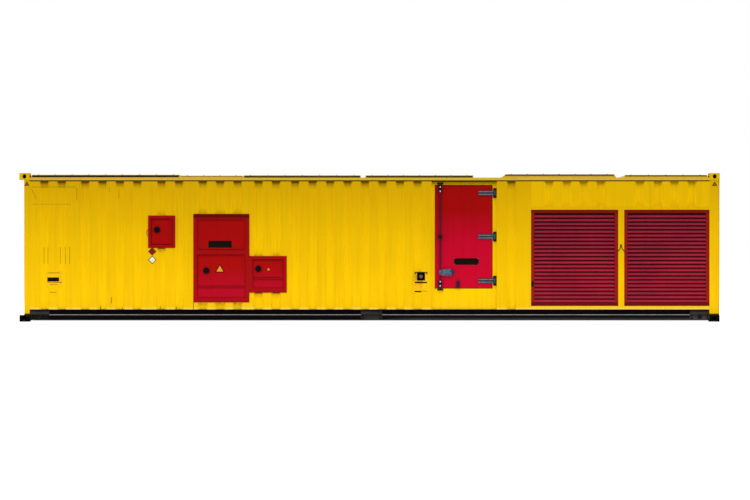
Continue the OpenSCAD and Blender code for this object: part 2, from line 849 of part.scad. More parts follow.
module jamb(face_w) {
    line = [[surround_t, wall_face], [surround_t, surround_face], [face_w, surround_face],
        [face_w, stop_face], [face_w + stop_w, stop_face]];
    translate([0, 0, wall_foot]) folded_up(line, surround_t, wall_top - wall_foot);
}

module door_jambs() {
    yellow_paint() {
        translate([surround_left, 0, 0]) jamb(lock_jamb_w);
        translate([surround_right, 0, 0]) mirror([1, 0, 0]) jamb(hinge_jamb_w);
    }
}

module doorway_panels() {
    head = [[surround_face, wall_top], [surround_face, doorway_top], [stop_face, doorway_top]];
    sill = [[stop_face, doorway_z], [surround_face, doorway_z], [surround_face, wall_foot]];
    yellow_paint() translate([doorway_left, 0, 0]) for (line = [head, sill])
        folded_along(line, surround_t, doorway_right - doorway_left);
}

// Access door leaf: a folded pan with a lip round its back

module access_door_leaf() {
    w = leaf_right - leaf_left;
    red_paint() translate([leaf_left, surround_face, leaf_foot]) {
        difference() {
            cube([w, leaf_d, leaf_h]);
            translate([leaf_t, leaf_t, leaf_t])
                cube([w - 2 * leaf_t, leaf_d - 2 * leaf_t, leaf_h - 2 * leaf_t]);
            translate([leaf_lip, leaf_t, leaf_lip])
                cube([w - 2 * leaf_lip, leaf_d, leaf_h - 2 * leaf_lip]);
        }
        translate([catch_share * w, -catch_d, 0]) hold_open_catch();
    }
}

// Catch on the leaf: an upright block with a slot that opens at its top
module hold_open_catch() {
    difference() {
        cube([catch_w, catch_d + leaf_t / 2, catch_h]);
        translate([catch_w * (1 - catch_slot_share) / 2, -cut, catch_h * catch_slot_share])
            cube([catch_w * catch_slot_share, catch_d * catch_slot_share + cut, catch_h]);
    }
}

function hinge_z(s) = leaf_foot + s * leaf_h;

module hinge_straps() {
    zinc() for (s = hinge_shares) translate([hinge_x, hinge_y, hinge_z(s) - strap_h / 2])
        difference() {
            union() {
                cylinder(r = knuckle_r, h = strap_h);
                translate([-strap_l, hinge_out - strap_t, 0]) cube([strap_l, strap_t, strap_h]);
                for (k = [-1, 1]) translate([-strap_l, hinge_out - strap_t - strap_rib,
                    strap_h / 2 + k * strap_h / 4 - strap_rib])
                    cube([strap_l - knuckle_r / 2, strap_rib + sheet_t, 2 * strap_rib]);
            }
            translate([0, 0, -cut]) cylinder(r = hinge_pin_r + fit, h = strap_h + 2 * cut);
            translate([-hinge_beyond, hinge_out - strap_t + strap_neck, -cut])
                cube([hinge_beyond - knuckle_r, strap_t, strap_h + 2 * cut]);
            translate([-knuckle_r - cut, knuckle_r, -cut]) cube([2 * knuckle_r, strap_t, strap_h + 2 * cut]);
        }
}

module hinge_lugs() {
    lug_h = strap_h + 2 * (ear_gap + ear_h);
    black_paint() for (s = hinge_shares) translate([hinge_x, hinge_y, hinge_z(s) - lug_h / 2]) {
        cylinder(r = hinge_pin_r, h = lug_h);
        for (z = [0, lug_h - ear_h]) translate([0, 0, z]) {
            cylinder(r = knuckle_r, h = ear_h);
            translate([-knuckle_r, 0, 0]) cube([2 * knuckle_r, hinge_out, ear_h]);
        }
        translate([-lug_w / 2, hinge_out - lug_plate_t, 0]) cube([lug_w, lug_plate_t, lug_h]);
    }
}

// Door lock: a turning rod in guides, with a handle and cam ends between keeper cheeks

module lock_rod_guides() {
    zinc() for (i = [0:len(guide_shares) - 1]) {
        h = guide_h * guide_h_shares[i];
        z = leaf_foot + guide_shares[i] * leaf_h - h / 2;
        translate([lock_rod_x, surround_face, z]) difference() {
            translate([-guide_w / 2, -guide_depth, 0]) cube([guide_w, guide_depth, h]);
            translate([0, -rod_out, -cut]) cylinder(r = rod_r + fit, h = h + 2 * cut);
        }
    }
}

module lock_rod() {
    cam_r = rod_r + keeper_gap / 2;
    red_paint() translate([lock_rod_x, lock_rod_y, leaf_foot - rod_over]) {
        cylinder(r = rod_r, h = leaf_h + 2 * rod_over);
        for (z = [0, leaf_h + 2 * rod_over - keeper_h]) translate([0, 0, z]) intersection() {
            cylinder(r = cam_r, h = keeper_h);
            translate([-cam_r, -rod_r, 0]) cube([2 * cam_r, 2 * rod_r, keeper_h]);
        }
    }
}

module lock_handle() {
    waist = handle_h / 2;
    tip_share = 0.28;
    shoulder_share = 0.66;
    outline = [[0, -waist * shoulder_share], [handle_l * shoulder_share, -waist],
        [handle_l, -waist * tip_share], [handle_l, waist * tip_share],
        [handle_l * shoulder_share, waist], [0, waist * shoulder_share]];
    zinc() translate([lock_rod_x, lock_rod_y, handle_z]) difference() {
        union() {
            translate([0, 0, -waist * shoulder_share])
                cylinder(r = hub_r, h = 2 * waist * shoulder_share);
            translate([0, handle_t / 2, 0]) rotate([90, 0, 0]) linear_extrude(height = handle_t)
                polygon(outline);
        }
        translate([0, 0, -handle_h]) cylinder(r = rod_r + fit, h = 2 * handle_h);
    }
}

module lock_keepers() {
    reach = rod_r + keeper_gap;
    feet = [doorway_top + keeper_t / 2, doorway_z - keeper_h - keeper_t / 2];
    black_paint() for (z = feet) for (side = [0, 1])
        translate([lock_rod_x, surround_face, z]) mirror([side, 0, 0]) translate([reach, 0, 0]) {
            translate([0, -keeper_d, 0]) cube([keeper_t, keeper_d, keeper_h]);
            translate([0, -keeper_foot_t, 0]) cube([keeper_t + keeper_foot_w, keeper_foot_t, keeper_h]);
        }
}

// Recessed cabinets

module cabinet_frame(x, z, w, h, openings, hinged) {
    red_paint() {
        difference() {
            union() {
                translate([x, frame_face, z]) cube([w, frame_t, h]);
                for (o = openings) translate([o[0] - cabinet_t, frame_face, o[2] - cabinet_t])
                    cube([o[1] - o[0] + 2 * cabinet_t, return_d, o[3] - o[2] + 2 * cabinet_t]);
            }
            for (o = openings) translate([o[0], frame_face - cut, o[2]])
                cube([o[1] - o[0], return_d + 2 * cut, o[3] - o[2]]);
        }
        o = openings[hinged];
        translate([o[1] - hinge_inset, frame_face + hinge_sink, o[2] - cabinet_t / 2])
            cylinder(r = cabinet_pin_r, h = o[3] - o[2] + cabinet_t);
    }
}

module cabinet_box(c, d) {
    w = c[1] - c[0];
    h = c[3] - c[2];
    red_paint() translate([c[0], wall_face, c[2]]) difference() {
        cube([w, d, h]);
        translate([cabinet_t, -cut, cabinet_t])
            cube([w - 2 * cabinet_t, d - cabinet_t + cut, h - 2 * cabinet_t]);
    }
}

// Door in opening o: a shallow pan with a hinge strip and barrel along its right edge
module cabinet_door(o) {
    x0 = o[0] + cabinet_gap;
    x1 = o[1] - door_edge;
    z0 = o[2] + cabinet_gap;
    h = o[3] - cabinet_gap - z0;
    axis_x = o[1] - hinge_inset;
    axis_y = frame_face + hinge_sink;
    strip_y = axis_y + cabinet_pin_r + 2 * fit;
    red_paint() difference() {
        union() {
            difference() {
                translate([x0, cabinet_skin, z0]) cube([x1 - x0, cabinet_door_d, h]);
                translate([x0 + cabinet_t, cabinet_skin + cabinet_t, z0 + cabinet_t])
                    cube([x1 - x0 - 2 * cabinet_t, cabinet_door_d, h - 2 * cabinet_t]);
            }
            translate([axis_x - hinge_strip_w, strip_y, z0])
                cube([hinge_strip_w, cabinet_skin - strip_y + cabinet_t, h]);
            translate([axis_x, axis_y, z0]) cylinder(r = barrel_r, h = h);
        }
        translate([axis_x, axis_y, z0 - cut]) cylinder(r = cabinet_pin_r + fit, h = h + 2 * cut);
    }
}

// Fixed cover in opening o: a plate with a raised middle
module cabinet_cover(o) {
    w = o[1] - o[0];
    h = o[3] - o[2];
    step = (door_sink - cabinet_t) * cover_step_share;
    red_paint() translate([o[0], cabinet_skin, o[2]]) {
        cube([w, cabinet_t, h]);
        translate([step, -cabinet_t, step]) cube([w - 2 * step, cabinet_t + cut, h - 2 * step]);
    }
}

// Round lock on the door in opening o: a stepped disc with a grip bar
module cabinet_lock(o, place) {
    x = o[0] + place[0] * (o[1] - o[0]);
    z = o[2] + place[1] * (o[3] - o[2]);
    rim = lock_h * cover_step_share;
    grip = lock_r * cover_step_share;
    black_paint() translate([x, cabinet_skin, z]) rotate([90, 0, 0]) {
        rotate_extrude() polygon([[0, 0], [lock_r, 0], [lock_r, rim / 2], [lock_r - rim / 2, rim],
            [grip, rim], [grip, rim / 2], [0, rim / 2]]);
        translate([-grip, -rim, 0]) cube([2 * grip - rim / 2, 2 * rim, lock_h]);
    }
}

module fuel_cabinet_frame() { cabinet_frame(fuel_left, fuel_z, fuel_w, fuel_h, [fuel_opening], 0); }
module fuel_cabinet_box() { cabinet_box(fuel_cut, fuel_d); }
module fuel_cabinet_door() { cabinet_door(fuel_opening); }
module fuel_door_lock() { cabinet_lock(fuel_opening, fuel_lock_shares); }

module power_panel_frame() {
    cabinet_frame(panel_left, panel_z, panel_w, panel_h, panel_openings, 1);
}
module power_panel_box() { cabinet_box(panel_cut, panel_d); }
module power_panel_covers() {
    cabinet_cover(panel_openings[0]);
    cabinet_cover(panel_openings[2]);
}
module power_panel_door() { cabinet_door(panel_openings[1]); }
module power_panel_lock() { cabinet_lock(panel_openings[1], panel_lock_shares); }

module side_box_frame() { cabinet_frame(box_left, box_z, box_w, box_h, box_openings, 1); }
module side_box_body() { cabinet_box(box_cut, box_d); }
module side_box_cover() { cabinet_cover(box_openings[0]); }
module side_box_door() { cabinet_door(box_openings[1]); }
module side_box_lock() { cabinet_lock(box_openings[1], box_lock_shares); }

// Emergency stop: a cup let into the wall, with a mushroom button on its back

module stop_cup() {
    color([0.1, 0.1, 0.1]) translate([stop_centre, wall_face, stop_z]) difference() {
        union() {
            translate([-stop_side / 2, -stop_lip_t, -stop_side / 2])
                cube([stop_side, stop_cup_d + stop_lip_t, stop_side]);
            translate([-stop_lip / 2, -stop_lip_t, -stop_lip / 2]) cube([stop_lip, stop_lip_t, stop_lip]);
        }
        translate([cabinet_t - stop_side / 2, -stop_lip_t - cut, cabinet_t - stop_side / 2])
            cube([stop_side - 2 * cabinet_t, stop_cup_d + cut, stop_side - 2 * cabinet_t]);
    }
}

module stop_button() {
    stem_r = button_r / 2;
    deep = stop_cup_d - stop_lip_t;
    color("firebrick") translate([stop_centre, wall_face + deep, stop_z]) rotate([90, 0, 0])
        rotate_extrude() polygon([[0, 0], [stem_r, 0], [stem_r, deep / 2], [button_r, deep / 2],
            [button_r, deep - stem_r / 2], [button_r - stem_r / 2, deep], [0, deep]]);
}

// Left end doors: framed leaves with pressed ribs, and their lock rods

module end_door_panel() {
    foot = wall_foot;
    h = wall_top - wall_foot;
    rib = h / 2 * (end_rib_shares[1] - end_rib_shares[0]);
    depth = end_door_d / 2;
    line = concat([[0, foot]], [for (s = end_rib_shares) for (k = [[-1, 0], [-0.5, 1], [0.5, 1], [1, 0]])
        [k[1] * depth, foot + s * h + k[0] * rib / 2]], [[0, foot + h]]);
    translate([end_door_face, 0, 0]) folded_across(line, -sheet_t, end_door_left, end_door_l);
    for (y = [end_door_left, end_door_left + end_door_l - end_door_bar])
        translate([end_door_face, y, foot]) difference() {
            cube([end_door_d, end_door_bar, h]);
            translate([cabinet_t, cabinet_t, -cut])
                cube([end_door_d, end_door_bar - 2 * cabinet_t, h + 2 * cut]);
        }
}

module left_end_doors() {
    yellow_paint() both_sides() end_door_panel();
}

module left_end_lock_gear() {
    h = wall_top - wall_foot;
    zinc() both_sides() for (s = end_rod_shares) {
        y = end_door_left + s * end_door_l;
        translate([end_door_face - rod_out, y, wall_foot]) cylinder(r = rod_r, h = h);
        for (g = end_guide_shares) translate([end_door_face - rod_out - rod_r, y - guide_w / 2,
            wall_foot + g * h - guide_h / 2]) cube([rod_out + rod_r, guide_w, guide_h]);
    }
}

module left_end_hinges() {
    h = wall_top - wall_foot;
    black_paint() both_sides() for (s = end_hinge_shares)
        translate([end_door_face - strap_t / 2 - knuckle_r, end_door_left + knuckle_r, wall_foot + s * h]) {
            translate([0, 0, -end_hinge_h / 2]) cylinder(r = knuckle_r, h = end_hinge_h);
            translate([-knuckle_r / 2, -knuckle_r, -end_hinge_h / 2])
                cube([knuckle_r, knuckle_r, end_hinge_h]);
            translate([knuckle_r - strap_t / 2, -knuckle_r / 2, -end_strap_h / 2])
                cube([strap_t, end_door_bar - knuckle_r, end_strap_h]);
        }
}

// Flat handles on the lock rods, each held in a catch on the door
module left_end_handles() {
    z = wall_foot + end_handle_share * (wall_top - wall_foot);
    reach = rod_out + rod_r;
    zinc() both_sides() for (s = end_rod_shares)
        translate([end_door_face - reach - strap_t, end_door_left + s * end_door_l - end_handle_l, z]) {
            translate([0, 0, -end_handle_h / 2]) cube([strap_t, end_handle_l + rod_r, end_handle_h]);
            translate([0, 0, -end_catch_h / 2]) cube([strap_t + reach, end_catch_w, end_catch_h]);
        }
}

bottom_corner_castings();
top_corner_castings();
left_end_posts();
right_end_posts();
top_side_rails();
bottom_side_rails();
rail_closing_plates();
end_headers();
end_sills();
floor_cross_members();
floor_deck();
front_wall_sheets();
front_wall_infills();
louvre_wall_sheets();
louvre_rails();
louvre_mullions();
rear_wall_sheet();
right_end_wall();
roof_sheet();
roof_covers();
front_louvres();
rear_louvres();
door_jambs();
doorway_panels();
hinge_lugs();
lock_keepers();
access_door_leaf();
hinge_straps();
lock_rod_guides();
lock_rod();
lock_handle();
fuel_cabinet_frame();
fuel_cabinet_box();
fuel_cabinet_door();
fuel_door_lock();
power_panel_frame();
power_panel_box();
power_panel_covers();
power_panel_door();
power_panel_lock();
side_box_frame();
side_box_body();
side_box_cover();
side_box_door();
side_box_lock();
stop_cup();
stop_button();
left_end_doors();
left_end_hinges();
left_end_lock_gear();
left_end_handles();
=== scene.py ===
"""Looks of a generator set in a 40-foot steel enclosure: paints, fittings, camera and studio light.

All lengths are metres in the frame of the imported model: +X to the right of the door side, -Y out of it, +Z up.
"""

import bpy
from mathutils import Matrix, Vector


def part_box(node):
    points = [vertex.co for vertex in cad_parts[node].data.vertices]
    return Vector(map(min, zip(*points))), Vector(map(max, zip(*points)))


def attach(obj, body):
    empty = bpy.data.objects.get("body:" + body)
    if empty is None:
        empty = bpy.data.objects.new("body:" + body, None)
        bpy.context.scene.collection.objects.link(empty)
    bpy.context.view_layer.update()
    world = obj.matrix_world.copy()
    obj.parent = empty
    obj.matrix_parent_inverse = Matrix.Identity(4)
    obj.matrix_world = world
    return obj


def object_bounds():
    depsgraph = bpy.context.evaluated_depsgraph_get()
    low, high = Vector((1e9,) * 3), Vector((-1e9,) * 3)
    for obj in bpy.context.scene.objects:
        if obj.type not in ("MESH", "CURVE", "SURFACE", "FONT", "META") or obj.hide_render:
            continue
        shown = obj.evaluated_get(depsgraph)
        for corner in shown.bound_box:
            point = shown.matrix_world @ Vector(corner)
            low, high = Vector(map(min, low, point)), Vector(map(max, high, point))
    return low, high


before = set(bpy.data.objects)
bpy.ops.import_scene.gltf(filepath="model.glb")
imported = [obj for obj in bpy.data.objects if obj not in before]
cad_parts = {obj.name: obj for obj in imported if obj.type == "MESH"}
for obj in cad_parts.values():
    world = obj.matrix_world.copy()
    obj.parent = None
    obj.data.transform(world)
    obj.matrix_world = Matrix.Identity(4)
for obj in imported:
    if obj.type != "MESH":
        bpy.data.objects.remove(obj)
CAD_BOX = [list(corner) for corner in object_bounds()]

import logging
from dataclasses import dataclass, replace
from enum import Enum
from functools import lru_cache
from typing import Any, Callable, Iterable, Sequence

import bmesh
import bpy
import numpy as np
from mathutils import Matrix, Vector

LOG = logging.getLogger("generator_set")
MM = 0.001
# A foil stands this far off its wall, and print on a foil twice as far.
FILM = 0.4 * MM
PRINT = 2 * FILM
# Points closer than this are one point, and faces that meet at less than this angle are shaded as one.
MERGE = 1e-6
SMOOTH_DEGREES = 35.0

Span = tuple[float, float]
Point = tuple[float, float, float]
Profile = Sequence[Span]
Outline = Callable[[float], np.ndarray]
Tree = bpy.types.NodeTree
Socket = bpy.types.NodeSocket
Node = bpy.types.Node
Source = Socket | Node
Layer = tuple[Source, str]


class Body(Enum):
    """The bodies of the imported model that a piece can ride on."""

    ENCLOSURE = "enclosure"
    ACCESS_DOOR = "access_door"
    FUEL_DOOR = "fuel_door"
    PANEL_DOOR = "panel_door"
    BOX_DOOR = "box_door"


class Slot(Enum):
    """The record's material slots named with each added piece."""

    YELLOW = "yellow_paint"
    RED = "red_paint"
    BLACK = "black_paint"
    ZINC = "zinc_steel"
    PLASTIC = "black_plastic"


class Facing(Enum):
    """The way a piece looks: columns are its own right, its inward depth and its own up."""

    REAR = ((-1.0, 0.0, 0.0), (0.0, -1.0, 0.0), (0.0, 0.0, 1.0))
    LEFT = ((0.0, 1.0, 0.0), (-1.0, 0.0, 0.0), (0.0, 0.0, 1.0))
    UP = ((1.0, 0.0, 0.0), (0.0, 0.0, -1.0), (0.0, 1.0, 0.0))


class Axis(Enum):
    """What a zone of wear counts along; DEPTH and REACH are Y and X without their sign."""

    X = "x"
    Z = "z"
    DEPTH = "depth"
    REACH = "reach"


# Shader nodes

# Socket numbers of a MapRange node: where it starts and is full, and the least and the most it gives.
START, FULL, LEAST, MOST = 1, 2, 3, 4
# Socket numbers of a Mix node of colours: share, lower colour, upper colour, and the mix that comes out.
SHARE, UNDER, OVER, MIXED = 0, 6, 7, 2
WHITE = (1.0, 1.0, 1.0, 1.0)


def linear(colour: str) -> tuple[float, float, float, float]:
    """Turns an sRGB hex colour to linear light.

    Args:
        colour: Six hex digits after a hash sign.

    Returns:
        Linear red, green and blue, and an alpha of 1.
    """
    share = np.frombuffer(bytes.fromhex(colour[1:]), np.uint8) / 255.0
    light = np.where(share <= 0.04045, share / 12.92, ((share + 0.055) / 1.055) ** 2.4)
    return (*light.tolist(), 1.0)


def add(tree: Tree, kind: str, inputs: dict[Any, Any] | None = None, **settings: Any) -> Node:
    """Adds one shader node with its settings, values and links.

    Args:
        tree: The node tree it goes into.
        kind: Blender's node type after "ShaderNode".
        inputs: Socket name or number to a value, or to the socket or node linked to it; a node gives its first output.
        settings: Attributes of the node itself.

    Returns:
        The new node.
    """
    node = tree.nodes.new("ShaderNode" + kind)
    for name, value in settings.items():
        setattr(node, name, value)
    for name, value in (inputs or {}).items():
        source = value.outputs[0] if isinstance(value, Node) else value
        if isinstance(source, Socket):
            tree.links.new(source, node.inputs[name])
        else:
            node.inputs[name].default_value = source
    return node


def empty_material(name: str) -> tuple[bpy.types.Material, Tree]:
    """Makes a material with no nodes in it.

    Args:
        name: The material's name.

    Returns:
        The material and its node tree.
    """
    material = bpy.data.materials.new(name)
    material.use_nodes = True
    material.node_tree.nodes.clear()
    return material, material.node_tree


# Finishes


@dataclass(frozen=True)
class Ramp:
    """A rise along an axis: nothing at its start, all of it from the place where it is full."""

    axis: Axis
    start: float
    full: float


@dataclass(frozen=True)
class Zone:
    """A part of a piece with another colour, as much of it as the ramp gives.

    Clouds move the ramp's places by the blur. Each ramp in `within` bounds the zone further.
    """

    ramp: Ramp
    colour: str
    most: float = 1.0
    blur: float = 0.0
    within: tuple[Ramp, ...] = ()

    def share(self, tree: Tree, axes: dict[Axis, Source], drift: Source) -> Node:
        """Adds the share of the zone's colour.

        Args:
            tree: The finish's node tree.
            axes: The point on the piece along each axis.
            drift: A cloud from 0 to 1 that moves the zone's edge.

        Returns:
            The node that gives the share.
        """
        moved = add(tree, "Math", {0: drift, 1: self.blur, 2: axes[self.ramp.axis]}, operation="MULTIPLY_ADD")
        ends = {START: self.ramp.start + self.blur / 2, FULL: self.ramp.full + self.blur / 2, MOST: self.most}
        share = add(tree, "MapRange", {"Value": moved} | ends)
        for ramp in self.within:
            bound = add(tree, "MapRange", {"Value": axes[ramp.axis], START: ramp.start, FULL: ramp.full})
            share = add(tree, "Math", {0: share, 1: bound}, operation="MULTIPLY")
        return share


@dataclass(frozen=True)
class Finish:
    """What a surface is made of and how it has aged. All pieces of a finish share one material."""

    name: str

    @lru_cache(maxsize=None)
    def material(self) -> bpy.types.Material:
        """Builds the finish's material once, on Object coordinates.

        Returns:
            The finished material.
        """
        material, tree = empty_material(self.name)
        shader = self.shader(tree, add(tree, "TexCoord").outputs["Object"])
        add(tree, "OutputMaterial", {"Surface": shader})
        return material

    def shader(self, tree: Tree, place: Socket) -> Node:
        """Adds the finish's own nodes.

        Args:
            tree: The finish's node tree.
            place: The point on the piece.

        Returns:
            The shader node.
        """
        raise NotImplementedError

    @staticmethod
    def layered(tree: Tree, colour: str, layers: Iterable[Layer]) -> Socket:
        """Lays colours over a first one.

        Args:
            tree: The finish's node tree.
            colour: The first colour.
            layers: Share and colour of each layer, from the lowest up.

        Returns:
            The socket of the colour that shows.
        """
        shade = linear(colour)
        for share, over in layers:
            mix = add(tree, "Mix", {SHARE: share, UNDER: shade, OVER: linear(over)}, data_type="RGBA")
            shade = mix.outputs[MIXED]
        return shade

    @staticmethod
    def worn(tree: Tree, place: Socket, zones: tuple[Zone, ...], drift: Source) -> list[Layer]:
        """Adds a finish's zones of wear.

        Args:
            tree: The finish's node tree.
            place: The point on the piece.
            zones: The zones, from the lowest up.
            drift: A cloud from 0 to 1 that moves the zones' edges.

        Returns:
            Share and colour of each zone.
        """
        x, y, z = add(tree, "SeparateXYZ", {0: place}).outputs
        depth, reach = (add(tree, "Math", {0: axis}, operation="ABSOLUTE") for axis in (y, x))
        axes = {Axis.X: x, Axis.Z: z, Axis.DEPTH: depth, Axis.REACH: reach}
        return [(zone.share(tree, axes, drift), zone.colour) for zone in zones]


@dataclass(frozen=True)
class SprayedEnamel(Finish):
    """Two-pack enamel sprayed on steel sheet.

    It gives the eye a satin film with a fine orange peel over slightly wavy sheet. The sun has paled it in clouds,
    rain has drawn streaks down it, dust lies on what faces up, dirt has splashed low down, and small chips
    show the primer. Zones change its colour. A run is the width, depth and length of one rain streak.
    """

    colour: str
    faded: str
    grime: str
    chip: str
    fade: float = 0.35
    streak: float = 0.3
    splash: float = 0.3
    dust: float = 0.35
    chips: float = 0.7
    roughness: float = 0.42
    rough_spread: Span = (-0.07, 0.12)
    shine: float = 0.25
    wave_mm: float = 3.6
    dust_colour: str = "#9A8F7C"
    run: Point = (0.04, 0.04, 1.4)
    zones: tuple[Zone, ...] = ()

    def shader(self, tree: Tree, place: Socket) -> Node:
        """Adds the paint with its wear and its relief.

        Args:
            tree: The finish's node tree.
            place: The point on the piece.

        Returns:
            The paint's shader node.
        """
        # Sun fading comes in clouds about 700 mm across, and road dirt in blots of about 90 mm.
        sun = {"Vector": place, "Scale": 1 / (700 * MM), "Detail": 5.0, "Roughness": 0.55}
        clouds = add(tree, "TexNoise", sun)
        dirt = {"Vector": place, "Scale": 1 / (90 * MM), "Detail": 6.0, "Roughness": 0.65}
        blots = add(tree, "TexNoise", dirt)
        smooth, dull = (self.roughness + spread for spread in self.rough_spread)
        coat = {
            "Base Color": self.layered(tree, self.colour, self.ageing(tree, place, clouds, blots)),
            "Roughness": add(tree, "MapRange", {"Value": blots, LEAST: smooth, MOST: dull}),
            "Specular IOR Level": self.shine,
            "IOR": 1.5,
            "Normal": self.relief(tree, place),
        }
        return add(tree, "BsdfPrincipled", coat)

    def ageing(self, tree: Tree, place: Socket, clouds: Source, blots: Source) -> list[Layer]:
        """Adds what sun, rain, dirt, dust and knocks have done to the paint.

        Args:
            tree: The finish's node tree.
            place: The point on the piece.
            clouds: The wide pattern that fading follows.
            blots: The small pattern that dirt follows.

        Returns:
            Share and colour of each layer, from the lowest up.
        """
        faded = add(tree, "MapRange", {"Value": clouds, START: 0.36, FULL: 0.68, MOST: self.fade})
        # Rain streaks are about 40 mm wide and 1.4 m long on a wall.
        hung = add(tree, "Mapping", {"Vector": place, "Scale": tuple(1 / size for size in self.run)})
        streaks = add(tree, "TexNoise", {"Vector": hung, "Scale": 1.0, "Detail": 3.0, "Roughness": 0.6})
        runs = add(tree, "MapRange", {"Value": streaks, START: 0.5, FULL: 0.82, MOST: self.streak})
        # Road dirt splashes up to about 700 mm.
        height = add(tree, "SeparateXYZ", {0: place}).outputs["Z"]
        low_down = add(tree, "MapRange", {"Value": height, START: 0.7, FULL: 0.12, MOST: self.splash})
        thrown = add(tree, "MapRange", {"Value": blots, START: 0.42, FULL: 0.7})
        splashed = add(tree, "Math", {0: low_down, 1: thrown}, operation="MULTIPLY")
        # Dust settles where the face looks up, washed thin in patches.
        normal = add(tree, "NewGeometry").outputs["True Normal"]
        upward = add(tree, "SeparateXYZ", {0: normal}).outputs["Z"]
        level = add(tree, "MapRange", {"Value": upward, START: 0.3, FULL: 0.95, MOST: self.dust})
        washed = add(tree, "MapRange", {"Value": clouds, START: 0.38, FULL: 0.62, LEAST: 1.0, MOST: 0.45})
        dusted = add(tree, "Math", {0: level, 1: washed}, operation="MULTIPLY")
        # Chips are 4 to 9 mm wide, one or none in each 60 mm cell, and come in patches.
        cells = add(tree, "TexVoronoi", {"Vector": place, "Scale": 1 / (60 * MM), "Randomness": 1.0})
        spots = add(tree, "MapRange", {"Value": cells, START: 0.085, FULL: 0.05, MOST: self.chips})
        patches = add(tree, "MapRange", {"Value": clouds, START: 0.56, FULL: 0.6})
        bared = add(tree, "Math", {0: spots, 1: patches}, operation="MULTIPLY")
        return [
            (faded, self.faded),
            *self.worn(tree, place, self.zones, clouds),
            (runs, self.grime),
            (splashed, self.grime),
            (dusted, self.dust_colour),
            (bared, self.chip),
        ]

    def relief(self, tree: Tree, place: Socket) -> Node:
        """Adds the wave of the sheet with the orange peel on it.

        Args:
            tree: The finish's node tree.
            place: The point on the piece.

        Returns:
            The node that gives the bumped normal.
        """
        # Sheet between welds waves over about 450 mm; its height is drawn three times the real one so that it shows.
        wave = add(tree, "TexNoise", {"Vector": place, "Scale": 1 / (450 * MM), "Detail": 0.0})
        wavy = add(tree, "Bump", {"Strength": 0.5, "Distance": self.wave_mm * MM, "Height": wave})
        # Orange peel is really 2 mm across; it is drawn at 9 mm so that it shows.
        peel = add(tree, "TexNoise", {"Vector": place, "Scale": 1 / (9 * MM), "Detail": 1.0})
        return add(tree, "Bump", {"Strength": 0.08, "Distance": 1 * MM, "Height": peel, "Normal": wavy})


@dataclass(frozen=True)
class PlatedSteel(Finish):
    """Rolled or forged steel with a dip of zinc.

    It gives the eye a dull grey metal with crystal patches of slightly different shine, dark dirt in clouds
    and a little brown rust bleeding through. Zones are rubbed bright by hands, partly as a painted highlight, or dark
    with grease.
    """

    colour: str
    dark: str
    rust: str = "#5A341C"
    dirt: float = 0.6
    rusting: float = 0.5
    metallic: float = 0.75
    roughness: float = 0.46
    rough_spread: Span = (-0.12, 0.2)
    shine: float = 0.5
    zones: tuple[Zone, ...] = ()

    def shader(self, tree: Tree, place: Socket) -> Node:
        """Adds the zinc with its dirt and rust.

        Args:
            tree: The finish's node tree.
            place: The point on the piece.

        Returns:
            The metal's shader node.
        """
        # Zinc crystals are 6 to 12 mm across.
        crystals = add(tree, "TexVoronoi", {"Vector": place, "Scale": 1 / (9 * MM)})
        tone = add(tree, "SeparateColor", {0: crystals.outputs["Color"]})
        pale = add(tree, "MapRange", {"Value": tone, MOST: 0.35})
        # Handling dirt lies in clouds of about 60 mm.
        handling = {"Vector": place, "Scale": 1 / (60 * MM), "Detail": 5.0, "Roughness": 0.6}
        clouds = add(tree, "TexNoise", handling)
        dirty = add(tree, "MapRange", {"Value": clouds, START: 0.4, FULL: 0.68, MOST: self.dirt})
        # Rust starts in spots of about 15 mm.
        rust = {"Vector": place, "Scale": 1 / (15 * MM), "Detail": 4.0, "Roughness": 0.7}
        specks = add(tree, "TexNoise", rust)
        rusty = add(tree, "MapRange", {"Value": specks, START: 0.6, FULL: 0.72, MOST: self.rusting})
        layers = [
            (pale, self.dark),
            *self.worn(tree, place, self.zones, clouds),
            (dirty, self.dark),
            (rusty, self.rust),
        ]
        smooth, dull = (self.roughness + spread for spread in self.rough_spread)
        metal = {
            "Base Color": self.layered(tree, self.colour, layers),
            "Metallic": self.metallic,
            "Roughness": add(tree, "MapRange", {"Value": clouds, LEAST: smooth, MOST: dull}),
            "Specular IOR Level": self.shine,
            "Normal": add(tree, "Bump", {"Strength": 0.25, "Distance": 0.6 * MM, "Height": specks}),
        }
        return add(tree, "BsdfPrincipled", metal)


@dataclass(frozen=True)
class MouldedPolymer(Finish):
    """Plastic or rubber from a mould, or printed film.

    It gives the eye an even body with a fine spark-eroded grain and a bloom of dust or fading in clouds.
    """

    colour: str
    bloom: str
    bloom_share: float = 0.35
    grain_mm: float = 2.5
    roughness: float = 0.55
    shine: float = 0.4
    rough_spread: Span = (-0.12, 0.15)

    def shader(self, tree: Tree, place: Socket) -> Node:
        """Adds the polymer with its bloom and grain.

        Args:
            tree: The finish's node tree.
            place: The point on the piece.

        Returns:
            The polymer's shader node.
        """
        # Dust blooms in clouds of about 45 mm.
        dust = {"Vector": place, "Scale": 1 / (45 * MM), "Detail": 5.0, "Roughness": 0.6}
        clouds = add(tree, "TexNoise", dust)
        bloom = add(tree, "MapRange", {"Value": clouds, START: 0.38, FULL: 0.75, MOST: self.bloom_share})
        smooth, dull = (self.roughness + spread for spread in self.rough_spread)
        # The mould's grain is finer than a millimetre and is drawn coarser so that it shows.
        grain = add(tree, "TexNoise", {"Vector": place, "Scale": 1 / (self.grain_mm * MM), "Detail": 2.0})
        body = {
            "Base Color": self.layered(tree, self.colour, [(bloom, self.bloom)]),
            "Roughness": add(tree, "MapRange", {"Value": clouds, LEAST: smooth, MOST: dull}),
            "Specular IOR Level": self.shine,
            "Normal": add(tree, "Bump", {"Strength": 0.3, "Distance": 0.3 * MM, "Height": grain}),
        }
        return add(tree, "BsdfPrincipled", body)


